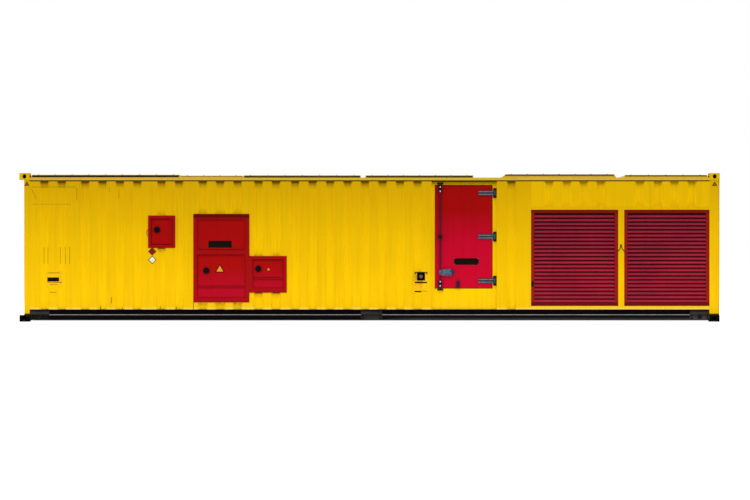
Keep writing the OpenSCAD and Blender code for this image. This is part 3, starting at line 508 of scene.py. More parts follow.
@dataclass(frozen=True)
class RolledDeck(Finish):
    """Hot-rolled floor plate with mill scale.

    It gives the eye blue-grey scale, scuffed bright along the ways that feet and trolleys take.
    """

    name: str = "hot_rolled_deck_plate"
    scale: str = "#3B3D40"
    scuffed: str = "#77736C"
    metallic: float = 0.6
    roughness: float = 0.5
    rough_spread: Span = (0.15, -0.15)

    def shader(self, tree: Tree, place: Socket) -> Node:
        """Adds the scale with its scuffs.

        Args:
            tree: The finish's node tree.
            place: The point on the piece.

        Returns:
            The floor plate's shader node.
        """
        # Scuffs run lengthwise, about 300 mm long and 12 mm wide.
        drawn = add(tree, "Mapping", {"Vector": place, "Scale": (1 / (300 * MM), 1 / (12 * MM), 1.0)})
        scuffs = add(tree, "TexNoise", {"Vector": drawn, "Scale": 1.0, "Detail": 4.0, "Roughness": 0.6})
        bright = add(tree, "MapRange", {"Value": scuffs, START: 0.45, FULL: 0.75, MOST: 0.8})
        dull, smooth = (self.roughness + spread for spread in self.rough_spread)
        deck = {
            "Base Color": self.layered(tree, self.scale, [(bright, self.scuffed)]),
            "Metallic": self.metallic,
            "Roughness": add(tree, "MapRange", {"Value": scuffs, LEAST: dull, MOST: smooth}),
            "Normal": add(tree, "Bump", {"Strength": 0.3, "Distance": 0.5 * MM, "Height": scuffs}),
        }
        return add(tree, "BsdfPrincipled", deck)


# Zones of wear and of painted light. Rails and posts: dust with a painted highlight on the step, dust low on the web,
# dirt with a painted shade line at the foot of the top rail, dirt at the foot of the posts, painted shade down the
# posts' end edge and inside the castings' holes.
STEP_DUST_AND_HIGHLIGHT = Zone(Ramp(Axis.Z, 0.114, 0.118), "#9E9DA2", 0.82, 0.004, (Ramp(Axis.Z, 0.132, 0.128),))
WEB_DUST = Zone(Ramp(Axis.Z, 0.085, 0.05), "#3E3D40", 0.8, 0.02, (Ramp(Axis.X, 0.2, 0.8),))
PLATE_DUST = Zone(Ramp(Axis.Z, 0.14, 0.05), "#5C5A58", 0.75, 0.06, (Ramp(Axis.X, -1.0, 1.0),))
RAIL_FOOT_SHADE = Zone(Ramp(Axis.Z, 2.469, 2.463), "#3C2803", 0.95, 0.004)
POST_FOOT = Zone(Ramp(Axis.Z, 0.152, 0.14), "#070606", 1.0, 0.02)
# Painted shade: a dark line down the posts' end edge.
POST_EDGE_SHADE = Zone(Ramp(Axis.X, 6.076, 6.09), "#6E5C1C", 0.75, within=(Ramp(Axis.DEPTH, 1.2, 1.214),))
# Painted shade inside the castings' holes.
CASTING_POCKET_SHADE = Zone(
    Ramp(Axis.REACH, 6.089, 6.083), "#120B02", within=(Ramp(Axis.DEPTH, 1.212, 1.206), Ramp(Axis.Z, 2.584, 2.578))
)
# Walls: dust and a painted highlight at the sill, painted shade under the roof, and waves painted brighter below to
# offset their shade and painted dark with shadow at the top.
SILL_DUST_AND_HIGHLIGHT = Zone(Ramp(Axis.Z, 0.27, 0.225), "#F2D468", 0.6, 0.03)
TOP_SHADE = Zone(Ramp(Axis.Z, 1.5, 2.45), "#C49600", 0.4, 0.3)
WAVE_FLOOR = Ramp(Axis.DEPTH, 1.2, 1.186)
# Painted light: the recess flats are brighter to offset the shade they get.
WAVE_PAINTED_LIGHT = Zone(Ramp(Axis.DEPTH, 1.208, 1.18), "#FCCE00", 0.6)
# Painted shadow of the top rail in the tops of the recesses, darkest in the corner just under it.
WAVE_TOP_SHADE = Zone(Ramp(Axis.Z, 2.31, 2.44), "#6A4A00", 0.5, 0.06, (WAVE_FLOOR,))
WAVE_CORNER_SHADE = Zone(Ramp(Axis.Z, 2.405, 2.43), "#3A2600", 0.5, 0.01, (WAVE_FLOOR,))
# Red pieces: a lower half painted brighter as painted light, painted shade on the top of the panel's frame, and louvre
# blades painted darker inwards as painted shade.
DOOR_BRIGHT = Zone(Ramp(Axis.Z, 1.95, 1.4), "#C2072A", 1.0, 0.5)
CABINET_BRIGHT = Zone(Ramp(Axis.Z, 0.95, 0.55), "#AE0822", 1.0, 0.4)
# Painted shade on the top bar of the power panel's frame.
PANEL_TOP_SHADE = Zone(Ramp(Axis.Z, 1.795, 1.82), "#560606", 0.85)
LOUVRE_FACE = Ramp(Axis.DEPTH, 1.2025, 1.2045)
LOUVRE_ZONES = (
    Zone(Ramp(Axis.Z, 0.9, 1.9), "#7A1A30", 0.5, 0.4),
    # Painted shade: the blades darken the deeper they go in.
    Zone(Ramp(Axis.DEPTH, 1.196, 1.176), "#2A050D", 0.85),
    Zone(LOUVRE_FACE, "#8E1A12"),
    Zone(Ramp(Axis.Z, 0.345, 0.33), "#560302", 0.8, within=(LOUVRE_FACE,)),
    Zone(Ramp(Axis.Z, 1.885, 1.9), "#6E120A", 0.6, within=(LOUVRE_FACE,)),
)
# Bare metal: ribs of the straps and the handle's face rubbed bright and lightened further as a painted highlight, their
# ends dark with grease and old paint.
STRAP_ZONES = (
    Zone(Ramp(Axis.DEPTH, 1.1955, 1.1985), "#85808F", 0.85),
    Zone(Ramp(Axis.X, 2.148, 2.158), "#26242C", 0.75),
)
HANDLE_ZONES = (
    Zone(Ramp(Axis.DEPTH, 1.2075, 1.2095), "#5A6E88", 0.8),
    Zone(Ramp(Axis.X, 1.41, 1.435), "#33101F", 0.85, 0.01),
)

# Enamels: name, then the colours of fresh paint, faded paint, grime and primer.
# Yellow paint is a warm, nearly even coat with ochre runs.
YELLOW_ENAMEL = SprayedEnamel(
    "sprayed_yellow_enamel", "#EEBD00", "#E6B600", "#B88600", "#7A5A10", fade=0.5, streak=0.28, splash=0.12, shine=0.08
)
# On the corrugated walls it has a painted highlight low down and painted shade under the rail.
WALL_ENAMEL = replace(
    YELLOW_ENAMEL,
    name="sprayed_yellow_wall_enamel",
    zones=(SILL_DUST_AND_HIGHLIGHT, WAVE_PAINTED_LIGHT, TOP_SHADE, WAVE_TOP_SHADE, WAVE_CORNER_SHADE),
)
# Round the doorway and over the louvres it has less painted shade.
LESS_SHADED_WALL_ENAMEL = replace(
    WALL_ENAMEL,
    name="sprayed_yellow_less_shaded_wall_enamel",
    zones=(SILL_DUST_AND_HIGHLIGHT, WAVE_PAINTED_LIGHT, replace(WAVE_TOP_SHADE, most=0.25)),
)
# On the rails and the roof it is pale with dust, and on the posts and castings it is dark at the foot and has painted
# shade at the end edge, in the holes and under the roof.
RAIL_ENAMEL = replace(
    YELLOW_ENAMEL, name="dusty_yellow_rail_enamel", colour="#E3BC34", faded="#D6B040", grime="#A08020", chips=0.9
)
# At the foot of the top rails there is dirt and a painted shade line.
SIDE_RAIL_ENAMEL = replace(RAIL_ENAMEL, name="grimy_and_shaded_yellow_rail_enamel", zones=(RAIL_FOOT_SHADE,))
ROOF_ENAMEL = replace(RAIL_ENAMEL, name="dusty_yellow_roof_enamel", dust=0.6, dust_colour="#B2A484")
POST_ENAMEL = replace(YELLOW_ENAMEL, name="sprayed_yellow_post_enamel", zones=(TOP_SHADE, POST_EDGE_SHADE, POST_FOOT))
CASTING_ENAMEL = replace(YELLOW_ENAMEL, name="sprayed_yellow_casting_enamel", zones=(CASTING_POCKET_SHADE,), chips=0.9)
# Red paint is a deep coat, painted brighter and more crimson lower down as painted light; the frames are duller.
DOOR_ENAMEL = SprayedEnamel(
    "sprayed_red_door_enamel", "#A60A05", "#A00810", "#6E060C", "#5A2018",
    fade=0.6, splash=0.12, shine=0.05, zones=(DOOR_BRIGHT,)
)
CABINET_ENAMEL = replace(DOOR_ENAMEL, name="sprayed_red_cabinet_enamel", colour="#A60B07", zones=(CABINET_BRIGHT,))
FRAME_ENAMEL = replace(CABINET_ENAMEL, name="sprayed_dark_red_frame_enamel", colour="#9A0E10", zones=())
PANEL_ENAMEL = replace(FRAME_ENAMEL, name="shaded_dark_red_frame_enamel", zones=(PANEL_TOP_SHADE,))
# On the louvres it is wine red, with level runs of dust along the blades.
LOUVRE_ENAMEL = SprayedEnamel(
    "dusty_red_louvre_enamel", "#A81430", "#8E1830", "#5C1C2E", "#4A1A18",
    fade=0.6, streak=0.75, dust=0.12, shine=0.05, run=(0.9, 0.9, 0.055), zones=LOUVRE_ZONES
)
# Black paint of the chassis has nearly no shine, with pale dust wherever it can lie.
BLACK_ENAMEL = SprayedEnamel(
    "black_chassis_enamel", "#060505", "#0B0A0A", "#161412", "#3A2416",
    fade=0.6, streak=0.4, dust=1.0, chips=0.4, roughness=0.55, shine=0.02, dust_colour="#C2BFBC"
)
# On the side rails dust lies as a pale line along the step, which is also a painted highlight.
STEP_ENAMEL = replace(BLACK_ENAMEL, name="dusty_black_rail_enamel", dust=0.0, zones=(STEP_DUST_AND_HIGHLIGHT, WEB_DUST))
PLATE_ENAMEL = replace(
    BLACK_ENAMEL, name="dusty_black_plate_enamel", dust=0.35,
    colour="#0C0B0B", faded="#1A1918", grime="#35332F", zones=(PLATE_DUST,)
)
# The lock rod's old paint is worn to the metal in spots, and the boxes inside have a flat grey primer.
MAROON_ENAMEL = SprayedEnamel(
    "worn_maroon_rod_enamel", "#320824", "#280A22", "#180610", "#5A5460", chips=0.9, shine=0.15
)
GREY_ENAMEL = SprayedEnamel("grey_primer_enamel", "#9EA19F", "#8C8F8D", "#6F6C66", "#5A4A3A", wave_mm=1.5)
# Zinc: dull grey on gear that nobody handles, dark with bright ribs on what is handled, silvery on new bolts.
ZINC = PlatedSteel("dull_zinc_plated_steel", "#7C7886", "#3A3744")
STRAP_ZINC = PlatedSteel("worn_zinc_strap_steel", "#34323E", "#1C1A24", dirt=0.4, zones=STRAP_ZONES)
HANDLE_ZINC = PlatedSteel("blued_zinc_handle_steel", "#3A4A5E", "#161A22", dirt=0.7, zones=HANDLE_ZONES)
BRIGHT_ZINC = PlatedSteel(
    "bright_zinc_bolts", "#C6C3CB", "#8E8B96", dirt=0.25, rusting=0.1, metallic=0.3, roughness=0.4
)
# Oiled steel is nearly black, with a brown touch of rust.
DARK_STEEL = PlatedSteel(
    "oiled_black_steel", "#141116", "#080709", dirt=0.7, rusting=0.35, metallic=0.1, roughness=0.62, shine=0.1
)
# Polymers: name, colour, bloom, share of bloom, grain in mm, roughness and shine.
# Nylon, rubber and felt look matt black, the lips of the roof covers and the stop button sun-browned.
BLACK_NYLON = MouldedPolymer("moulded_black_nylon", "#080709", "#17151A", 0.3, shine=0.06)
BLACK_RUBBER = MouldedPolymer("extruded_black_rubber", "#0C0B0A", "#2A2620", 0.5, 3.0, 0.75, 0.1)
FILTER_FELT = MouldedPolymer("pleated_black_filter_felt", "#0E0C0D", "#241E1E", 0.6, 6.0, 0.9, 0.05)
BROWN_RUBBER = MouldedPolymer("weathered_brown_rubber", "#4A3A08", "#7A6210", 0.7, 8.0, 0.75, 0.1)
STOP_PLASTIC = MouldedPolymer("weathered_stop_button_plastic", "#5E3E22", "#7A5A30", 0.5)
# Foils are smooth flat colours that have faded in patches.
BLACK_FOIL = MouldedPolymer("printed_black_foil", "#0B0604", "#1C120C", 0.4, 4.0, 0.5, 0.04)
PALE_FOIL = MouldedPolymer("printed_pale_yellow_foil", "#F0BE0C", "#E8B404", 0.7, 4.0, 0.5, 0.08)
WHITE_FOIL = MouldedPolymer("printed_white_foil", "#E9E6D8", "#CFC9B6", 0.4, 4.0, 0.4, 0.15)
RED_FOIL = MouldedPolymer("printed_red_foil", "#8A1410", "#6A1A16", 0.5, 4.0, 0.4, 0.12)
AMBER_FOIL = MouldedPolymer("printed_amber_foil", "#E09A20", "#C98A28", 0.4, 4.0, 0.4, 0.12)
BROWN_FOIL = MouldedPolymer("weathered_brown_foil", "#6A4708", "#4A3206", 0.6, 4.0, 0.5, 0.12)
# Print, glue and dirt are brown films on the yellow, matt and broken up.
FADED_PRINT = MouldedPolymer("faded_brown_print", "#A87C08", "#C89A08", 0.8, 6.0, 0.6, 0.1)
OLD_GLUE = MouldedPolymer("old_glue_line", "#8F6A08", "#B48A0A", 0.9, 6.0, 0.6, 0.1)
SEAM_DIRT = MouldedPolymer("dirt_in_a_weld_seam", "#5A4204", "#8A6A06", 0.8, 9.0, 0.8, 0.08)
# Under the top rail the dark film is dirt and painted shade; over the doorway it is only painted shadow.
RAIL_SHADE_AND_DIRT = MouldedPolymer("dirt_and_painted_shade_under_a_rail", "#2C1D02", "#453003", 0.8, 9.0, 0.8, 0.05)
DECK = RolledDeck()


# Surfaces


@dataclass
class Surface:
    """A closed surface: its points in metres and its four-cornered faces."""

    points: np.ndarray
    faces: np.ndarray

    @classmethod
    def from_grid(cls, grid: np.ndarray, ring: bool = False) -> "Surface":
        """Joins a grid of points, closed across its columns, to faces.

        Args:
            grid: Rows by columns by 3; row i, column j is joined to row i + 1 and to column j + 1.
            ring: Whether the last row is joined to the first.

        Returns:
            The surface.
        """
        rows, columns = grid.shape[:2]
        number = np.arange(rows * columns).reshape(rows, columns)
        down = np.roll(number, -1, axis=0) if ring else number[1:]
        here = number if ring else number[:-1]
        corners = (here, np.roll(here, -1, axis=1), np.roll(down, -1, axis=1), down)
        return cls(grid.reshape(-1, 3), np.stack(corners, axis=-1).reshape(-1, 4))

    def turned(self, facing: Facing) -> "Surface":
        """Turns the surface from the front to another facing: each point is multiplied by the facing's axes."""
        return Surface(self.points @ np.array(facing.value), self.faces)

    def at(self, places: Sequence[Sequence[float]]) -> "Surface":
        """Repeats the surface, once at each place.

        Args:
            places: One X, Y and Z for each copy.

        Returns:
            All copies as one surface: every point plus every place.
        """
        moves = np.asarray(places, float).reshape(-1, 1, 3)
        steps = np.arange(len(moves)).reshape(-1, 1, 1) * len(self.points)
        return Surface((self.points[None] + moves).reshape(-1, 3), (self.faces[None] + steps).reshape(-1, 4))

    def on_both_sides(self, places: np.ndarray, front: float, rear: float) -> "Surface":
        """Sets the surface at the same places on the front and, turned round, on the rear.

        Args:
            places: X, zero and Z of each copy.
            front: Depth of the front face.
            rear: Depth of the rear face.

        Returns:
            All copies as one surface.
        """
        behind = self.turned(Facing.REAR).at(places + [0.0, rear, 0.0])
        return Surface.joined((self.at(places + [0.0, front, 0.0]), behind))

    @staticmethod
    def joined(surfaces: Iterable["Surface"]) -> "Surface":
        """Puts several surfaces into one.

        Args:
            surfaces: Those to put together.

        Returns:
            One surface whose faces count on through all points.
        """
        every = list(surfaces)
        starts = np.cumsum([0] + [len(s.points) for s in every[:-1]])
        faces = [s.faces + start for s, start in zip(every, starts)]
        return Surface(np.concatenate([s.points for s in every]), np.concatenate(faces))


def rounded_rectangle(wide: float, tall: float, radius: float, steps: int = 5) -> Outline:
    """Gives a rectangle with round corners.

    Args:
        wide: Its width.
        tall: Its height.
        radius: Its corner radius.
        steps: Points on each corner.

    Returns:
        A function of an inset that gives the loop of points, across and up: a quarter circle of the radius
        less the inset about each corner's centre.
    """
    turn = np.linspace(0.0, np.pi / 2, steps)
    angles = (turn[None] + np.arange(4)[:, None] * np.pi / 2).ravel()
    signs = np.repeat(np.array([[1, 1], [-1, 1], [-1, -1], [1, -1]]), steps, axis=0)
    centres = signs * (np.array([wide, tall]) / 2 - radius)

    def outline(inset: float) -> np.ndarray:
        """Gives the loop at one inset."""
        return centres + max(radius - inset, 0.0) * np.stack([np.cos(angles), np.sin(angles)], axis=1)

    return outline


def regular_polygon(sides: int, radius: float, turn: float = 0.0) -> Outline:
    """Gives a polygon with equal sides.

    Args:
        sides: How many sides it has.
        radius: From its centre to a corner.
        turn: Angle of the first corner from the right, in radians.

    Returns:
        A function of an inset that gives the loop of corners: each on a circle of the radius less the inset
        over the cosine of half a side's angle.
    """
    angles = turn + np.arange(sides) * 2 * np.pi / sides

    def outline(inset: float) -> np.ndarray:
        """Gives the loop at one inset."""
        return (radius - inset / np.cos(np.pi / sides)) * np.stack([np.cos(angles), np.sin(angles)], axis=1)

    return outline


def circle(radius: float, steps: int = 10) -> np.ndarray:
    """Gives a round section: a regular polygon's corners on a circle of the radius."""
    return regular_polygon(steps, radius)(0.0)


def plate(outline: Outline, profile: Profile) -> Surface:
    """Builds a plate, boss or head that looks to the front.

    The grid's rows are the outline at each step of the profile, its columns the outline's points; a point is
    the outline at the step's inset, brought out by the step's height. A first and last row lie at the centre
    and close both faces.

    Args:
        outline: The shape seen from the front.
        profile: Inset and height of each step, from the back edge to the front face.

    Returns:
        The closed plate about its own centre, standing on the plane of zero depth.
    """
    insets, heights = np.array(profile).T
    loops = [outline(inset) for inset in insets]
    flat = np.stack([loops[0] * 0.0, *loops, loops[-1] * 0.0])
    deep = np.broadcast_to(-np.pad(heights, 1, mode="edge")[:, None], flat.shape[:2])
    return Surface.from_grid(np.stack([flat[..., 0], deep, flat[..., 1]], axis=-1))


def sheet_plate(outline: Outline, thick: float) -> Surface:
    """Builds a thin plate with its front edge broken: a third of the thickness goes off in two steps."""
    edge = thick / 3
    return plate(outline, [(0.0, 0.0), (0.0, thick - edge), (edge / 3, thick - edge / 3), (edge, thick)])


def hex_bolt(across: float, tall: float) -> Surface:
    """Builds a hexagon bolt head on its washer.

    Args:
        across: Width across the head's flats.
        tall: Height of the head above the washer.

    Returns:
        A round washer a fifth as thick as the head, and a six-sided head whose top edge is broken.
    """
    thin = tall / 5
    washer = plate(regular_polygon(14, across * 0.95), [(0.0, 0.0), (0.0, thin * 0.7), (thin * 0.3, thin)])
    corner = across / 2 / np.cos(np.pi / 6)
    head = plate(regular_polygon(6, corner), [(0.0, 0.0), (0.0, thin + tall * 0.85), (across * 0.09, thin + tall)])
    return Surface.joined((washer, head))


def dome_head(radius: float, tall: float, sides: int = 12, steps: int = 4) -> Surface:
    """Builds a pan head.

    Args:
        radius: Its radius.
        tall: Its height.
        sides: Corners of its outline.
        steps: Rows from its foot to its flat middle.

    Returns:
        A round outline whose rows follow a quarter of an ellipse in to a flat of a quarter of the radius.
    """
    turn = np.linspace(0.0, np.pi / 2, steps)
    rows = np.stack([radius * 0.75 * (1 - np.cos(turn)), tall * np.sin(turn)], axis=1)
    return plate(regular_polygon(sides, radius), rows)


def sweep(path: np.ndarray, section: np.ndarray, ring: bool = False) -> Surface:
    """Carries a closed section along a path.

    Each point is the path's point, plus the section's first number along the level direction across the path
    and its second along the direction square to both.

    Args:
        path: Points to follow, n by 3.
        section: Closed loop across the path, m by 2, counted so that faces look out.
        ring: Whether the path ends where it began; otherwise both ends are closed at the path.

    Returns:
        The closed surface.
    """
    before, after = (np.roll(path, step, axis=0) for step in (1, -1))
    if not ring:
        before[0], after[-1] = path[0], path[-1]
    along = after - before
    along /= np.linalg.norm(along, axis=1, keepdims=True)
    side = np.cross(along, [0.0, -1.0, 0.0])
    side /= np.linalg.norm(side, axis=1, keepdims=True)
    rise = np.cross(side, along)
    grid = path[:, None] + section[None, :, :1] * side[:, None] + section[None, :, 1:] * rise[:, None]
    if not ring:
        ends = [np.broadcast_to(path[i], (1, len(section), 3)) for i in (0, -1)]
        grid = np.concatenate([ends[0], grid, ends[1]])
    return Surface.from_grid(grid, ring)


def bent_path(corners: Sequence[Sequence[float]], radius: float, steps: int = 6) -> np.ndarray:
    """Rounds the inner corners of a path.

    Args:
        corners: The path's corners, in order.
        radius: How far from a corner the bend starts.
        steps: Points on each bend.

    Returns:
        The points: each bend is the quadratic curve from a point before the corner, towards it, to one after it.
    """
    line = np.asarray(corners, float)
    before, here, after = line[:-2], line[1:-1], line[2:]
    start = here + radius * (before - here) / np.linalg.norm(before - here, axis=1, keepdims=True)
    end = here + radius * (after - here) / np.linalg.norm(after - here, axis=1, keepdims=True)
    t = np.linspace(0.0, 1.0, steps).reshape(1, -1, 1)
    bends = (1 - t) ** 2 * start[:, None] + 2 * t * (1 - t) * here[:, None] + t**2 * end[:, None]
    return np.concatenate([line[:1], bends.reshape(-1, 3), line[-1:]])


def frame_places(x: Span, z: Span, y: float, across: int, up: int) -> np.ndarray:
    """Lays places round a rectangle.

    Args:
        x: Left and right lines.
        z: Lower and upper lines.
        y: Depth of all places.
        across: Places on the lower and upper lines, corners included.
        up: Places on the left and right lines, corners included.

    Returns:
        One row of X, Y and Z for each place.
    """
    level = [(a, y, b) for b in z for a in np.linspace(*x, across)]
    upright = [(a, y, b) for a in x for b in np.linspace(*z, up)[1:-1]]
    return np.array(level + upright)


def make(
    name: str, surface: Surface, finish: Finish, slot: Slot, body: Body = Body.ENCLOSURE, smooth: bool = True
) -> None:
    """Puts a surface into the scene as one piece that rides on a body, with doubles merged and faces looking out.

    Args:
        name: The piece's name.
        surface: Its points and faces.
        finish: Its material.
        slot: The record's material slot; not used.
        body: What it moves with.
        smooth: Whether faces that meet at a small angle are shaded as one.
    """
    mesh = bpy.data.meshes.new(name)
    mesh.from_pydata(surface.points, [], surface.faces.tolist())
    bm = bmesh.new()
    bm.from_mesh(mesh)
    bmesh.ops.remove_doubles(bm, verts=bm.verts, dist=MERGE)
    bmesh.ops.recalc_face_normals(bm, faces=bm.faces)
    bm.to_mesh(mesh)
    bm.free()
    mesh.validate()
    if smooth:
        mesh.shade_smooth()
        mesh.set_sharp_from_angle(angle=np.radians(SMOOTH_DEGREES))
    mesh.materials.append(finish.material())
    piece = bpy.data.objects.new(name, mesh)
    bpy.context.scene.collection.objects.link(piece)
    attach(piece, body.value)
    LOG.info("%s: %d faces on %s", name, len(mesh.polygons), body.value)


def low(node: str) -> Vector:
    """Gives the lowest corner of a CAD node."""
    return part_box(node)[0]


def high(node: str) -> Vector:
    """Gives the highest corner of a CAD node."""
    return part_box(node)[1]


# Sub-assemblies


@dataclass
class Paintwork:
    """Gives every CAD node the finish of the real piece."""

    coats: tuple[tuple[Finish, str], ...] = (
        (YELLOW_ENAMEL, "right_end_wall left_end_doors"),
        (WALL_ENAMEL, "front_wall_sheets front_wall_infills louvre_rails louvre_mullions rear_wall_sheet"),
        (LESS_SHADED_WALL_ENAMEL, "louvre_wall_sheets door_jambs doorway_panels"),
        (SIDE_RAIL_ENAMEL, "top_side_rails"),
        (RAIL_ENAMEL, "end_headers"),
        (ROOF_ENAMEL, "roof_sheet roof_covers"),
        (POST_ENAMEL, "left_end_posts right_end_posts"),
        (CASTING_ENAMEL, "top_corner_castings"),
        (DOOR_ENAMEL, "access_door_leaf"),
        (CABINET_ENAMEL, "fuel_cabinet_door power_panel_covers power_panel_door side_box_cover side_box_door"),
        (FRAME_ENAMEL, "fuel_cabinet_frame side_box_frame"),
        (PANEL_ENAMEL, "power_panel_frame"),
        (LOUVRE_ENAMEL, "front_louvres rear_louvres"),
        (BLACK_ENAMEL, "bottom_corner_castings end_sills floor_cross_members"),
        (STEP_ENAMEL, "bottom_side_rails"),
        (PLATE_ENAMEL, "rail_closing_plates"),
        (GREY_ENAMEL, "fuel_cabinet_box power_panel_box side_box_body"),
        (ZINC, "left_end_lock_gear left_end_handles"),
        (STRAP_ZINC, "hinge_straps"),
        (HANDLE_ZINC, "lock_handle"),
        (DARK_STEEL, "hinge_lugs lock_keepers lock_rod_guides left_end_hinges"),
        (BLACK_NYLON, "fuel_door_lock power_panel_lock side_box_lock stop_cup"),
        (MAROON_ENAMEL, "lock_rod"),
        (STOP_PLASTIC, "stop_button"),
        (DECK, "floor_deck"),
    )

    def build(self) -> None:
        """Puts each finish into its nodes' slots."""
        for finish, nodes in self.coats:
            for node in nodes.split():
                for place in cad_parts[node].material_slots:
                    place.material = finish.material()
                LOG.info("%s: %s", node, finish.name)


@dataclass(frozen=True)
class Foil:
    """A thin foil on a wall: its left and right edges, lower and upper edges, and how far its top leans right."""

    x: Span
    z: Span
    lean: float = 0.0


@dataclass
class Corrugation:
    """A sheet's trapezoid waves, for foils that lie on them; those of the long front wall if nothing is said."""

    face: float = -1.213
    depth: float = 0.036
    flat: float = 0.1
    run: float = 0.038
    first: float = -5.663
    pitch: float = 0.304
    count: int = 21
    seams: tuple[tuple[int, float], ...] = ((1, 0.33), (5, 0.38), (7, 0.36), (10, 0.2), (12, 0.1))
    middles: tuple[float, ...] = ()
    foil_columns: int = 6
    foil_rows: int = 8

    @property
    def centres(self) -> np.ndarray:
        """Gives the recesses' middles: those named, or the pitch added up with a share of it more at each seam."""
        if self.middles:
            return np.array(self.middles)
        steps = np.full(self.count, self.pitch)
        after, share = np.array(self.seams).T
        steps[after.astype(int)] += share * self.pitch
        return self.first + np.cumsum(steps) - steps

    def surface_y(self, x: np.ndarray) -> np.ndarray:
        """Gives the sheet's outer face.

        Args:
            x: Places along the wall.

        Returns:
            The face, plus the depth times a ramp that is 1 on a recess's flat and 0 outside its mouth.
        """
        away = np.abs(x[..., None] - self.centres).min(axis=-1)
        return self.face + self.depth * np.clip((self.flat / 2 + self.run - away) / self.run, 0.0, 1.0)

    def foil(self, foil: Foil, lift: float = FILM) -> Surface:
        """Lays a thin foil on the wall.

        The grid runs across, with a column at every bend of the wall, and up; depth is the wall's face less the
        lift. Behind it a second grid lies in the wall by as much, and the rows go round both.

        Args:
            foil: Its edges.
            lift: How far it stands off the wall.

        Returns:
            The closed foil.
        """
        left, right = foil.x
        corners = self.flat / 2 + np.array([-self.flat - self.run, -self.flat, 0.0, self.run])
        bends = (self.centres[:, None] + corners).ravel()
        inside = bends[(bends > left) & (bends < right)]
        across = np.unique(np.concatenate([np.linspace(left, right, self.foil_columns), inside]))
        up = np.linspace(*foil.z, self.foil_rows)[:, None]
        wide = across + foil.lean * (up - up[0]) / (up[-1] - up[0])
        tall = np.broadcast_to(up, wide.shape)
        deep = self.surface_y(wide)
        front = np.stack([wide, deep - lift, tall], axis=-1)
        back = np.stack([wide, deep + lift, tall], axis=-1)
        rows = np.concatenate([front, back[:, ::-1]], axis=1)
        foot, head = (np.concatenate([back[i], back[i][::-1]])[None] for i in (0, -1))
        return Surface.from_grid(np.concatenate([foot, rows, head]))

    def foils(self, foils: Iterable[Foil], lift: float = FILM) -> Surface:
        """Lays several foils on the wall as one surface."""
        return Surface.joined(self.foil(foil, lift) for foil in foils)


@dataclass(frozen=True)
class BarePlate:
    """A small plate with nothing on it: a polygon with a corner at its top."""

    name: str
    sides: int
    radius: float
    thick: float
    places: tuple[Span, ...]
    finish: Finish
    slot: Slot
    body: Body = Body.ENCLOSURE

    def build(self, face: float) -> None:
        """Sets the plate at its places, across and up, on a face at one depth."""
        shape = sheet_plate(regular_polygon(self.sides, self.radius, np.pi / 2), self.thick)
        surface = shape.at([(x, face, z) for x, z in self.places])
        make(self.name, surface, self.finish, self.slot, self.body, smooth=False)


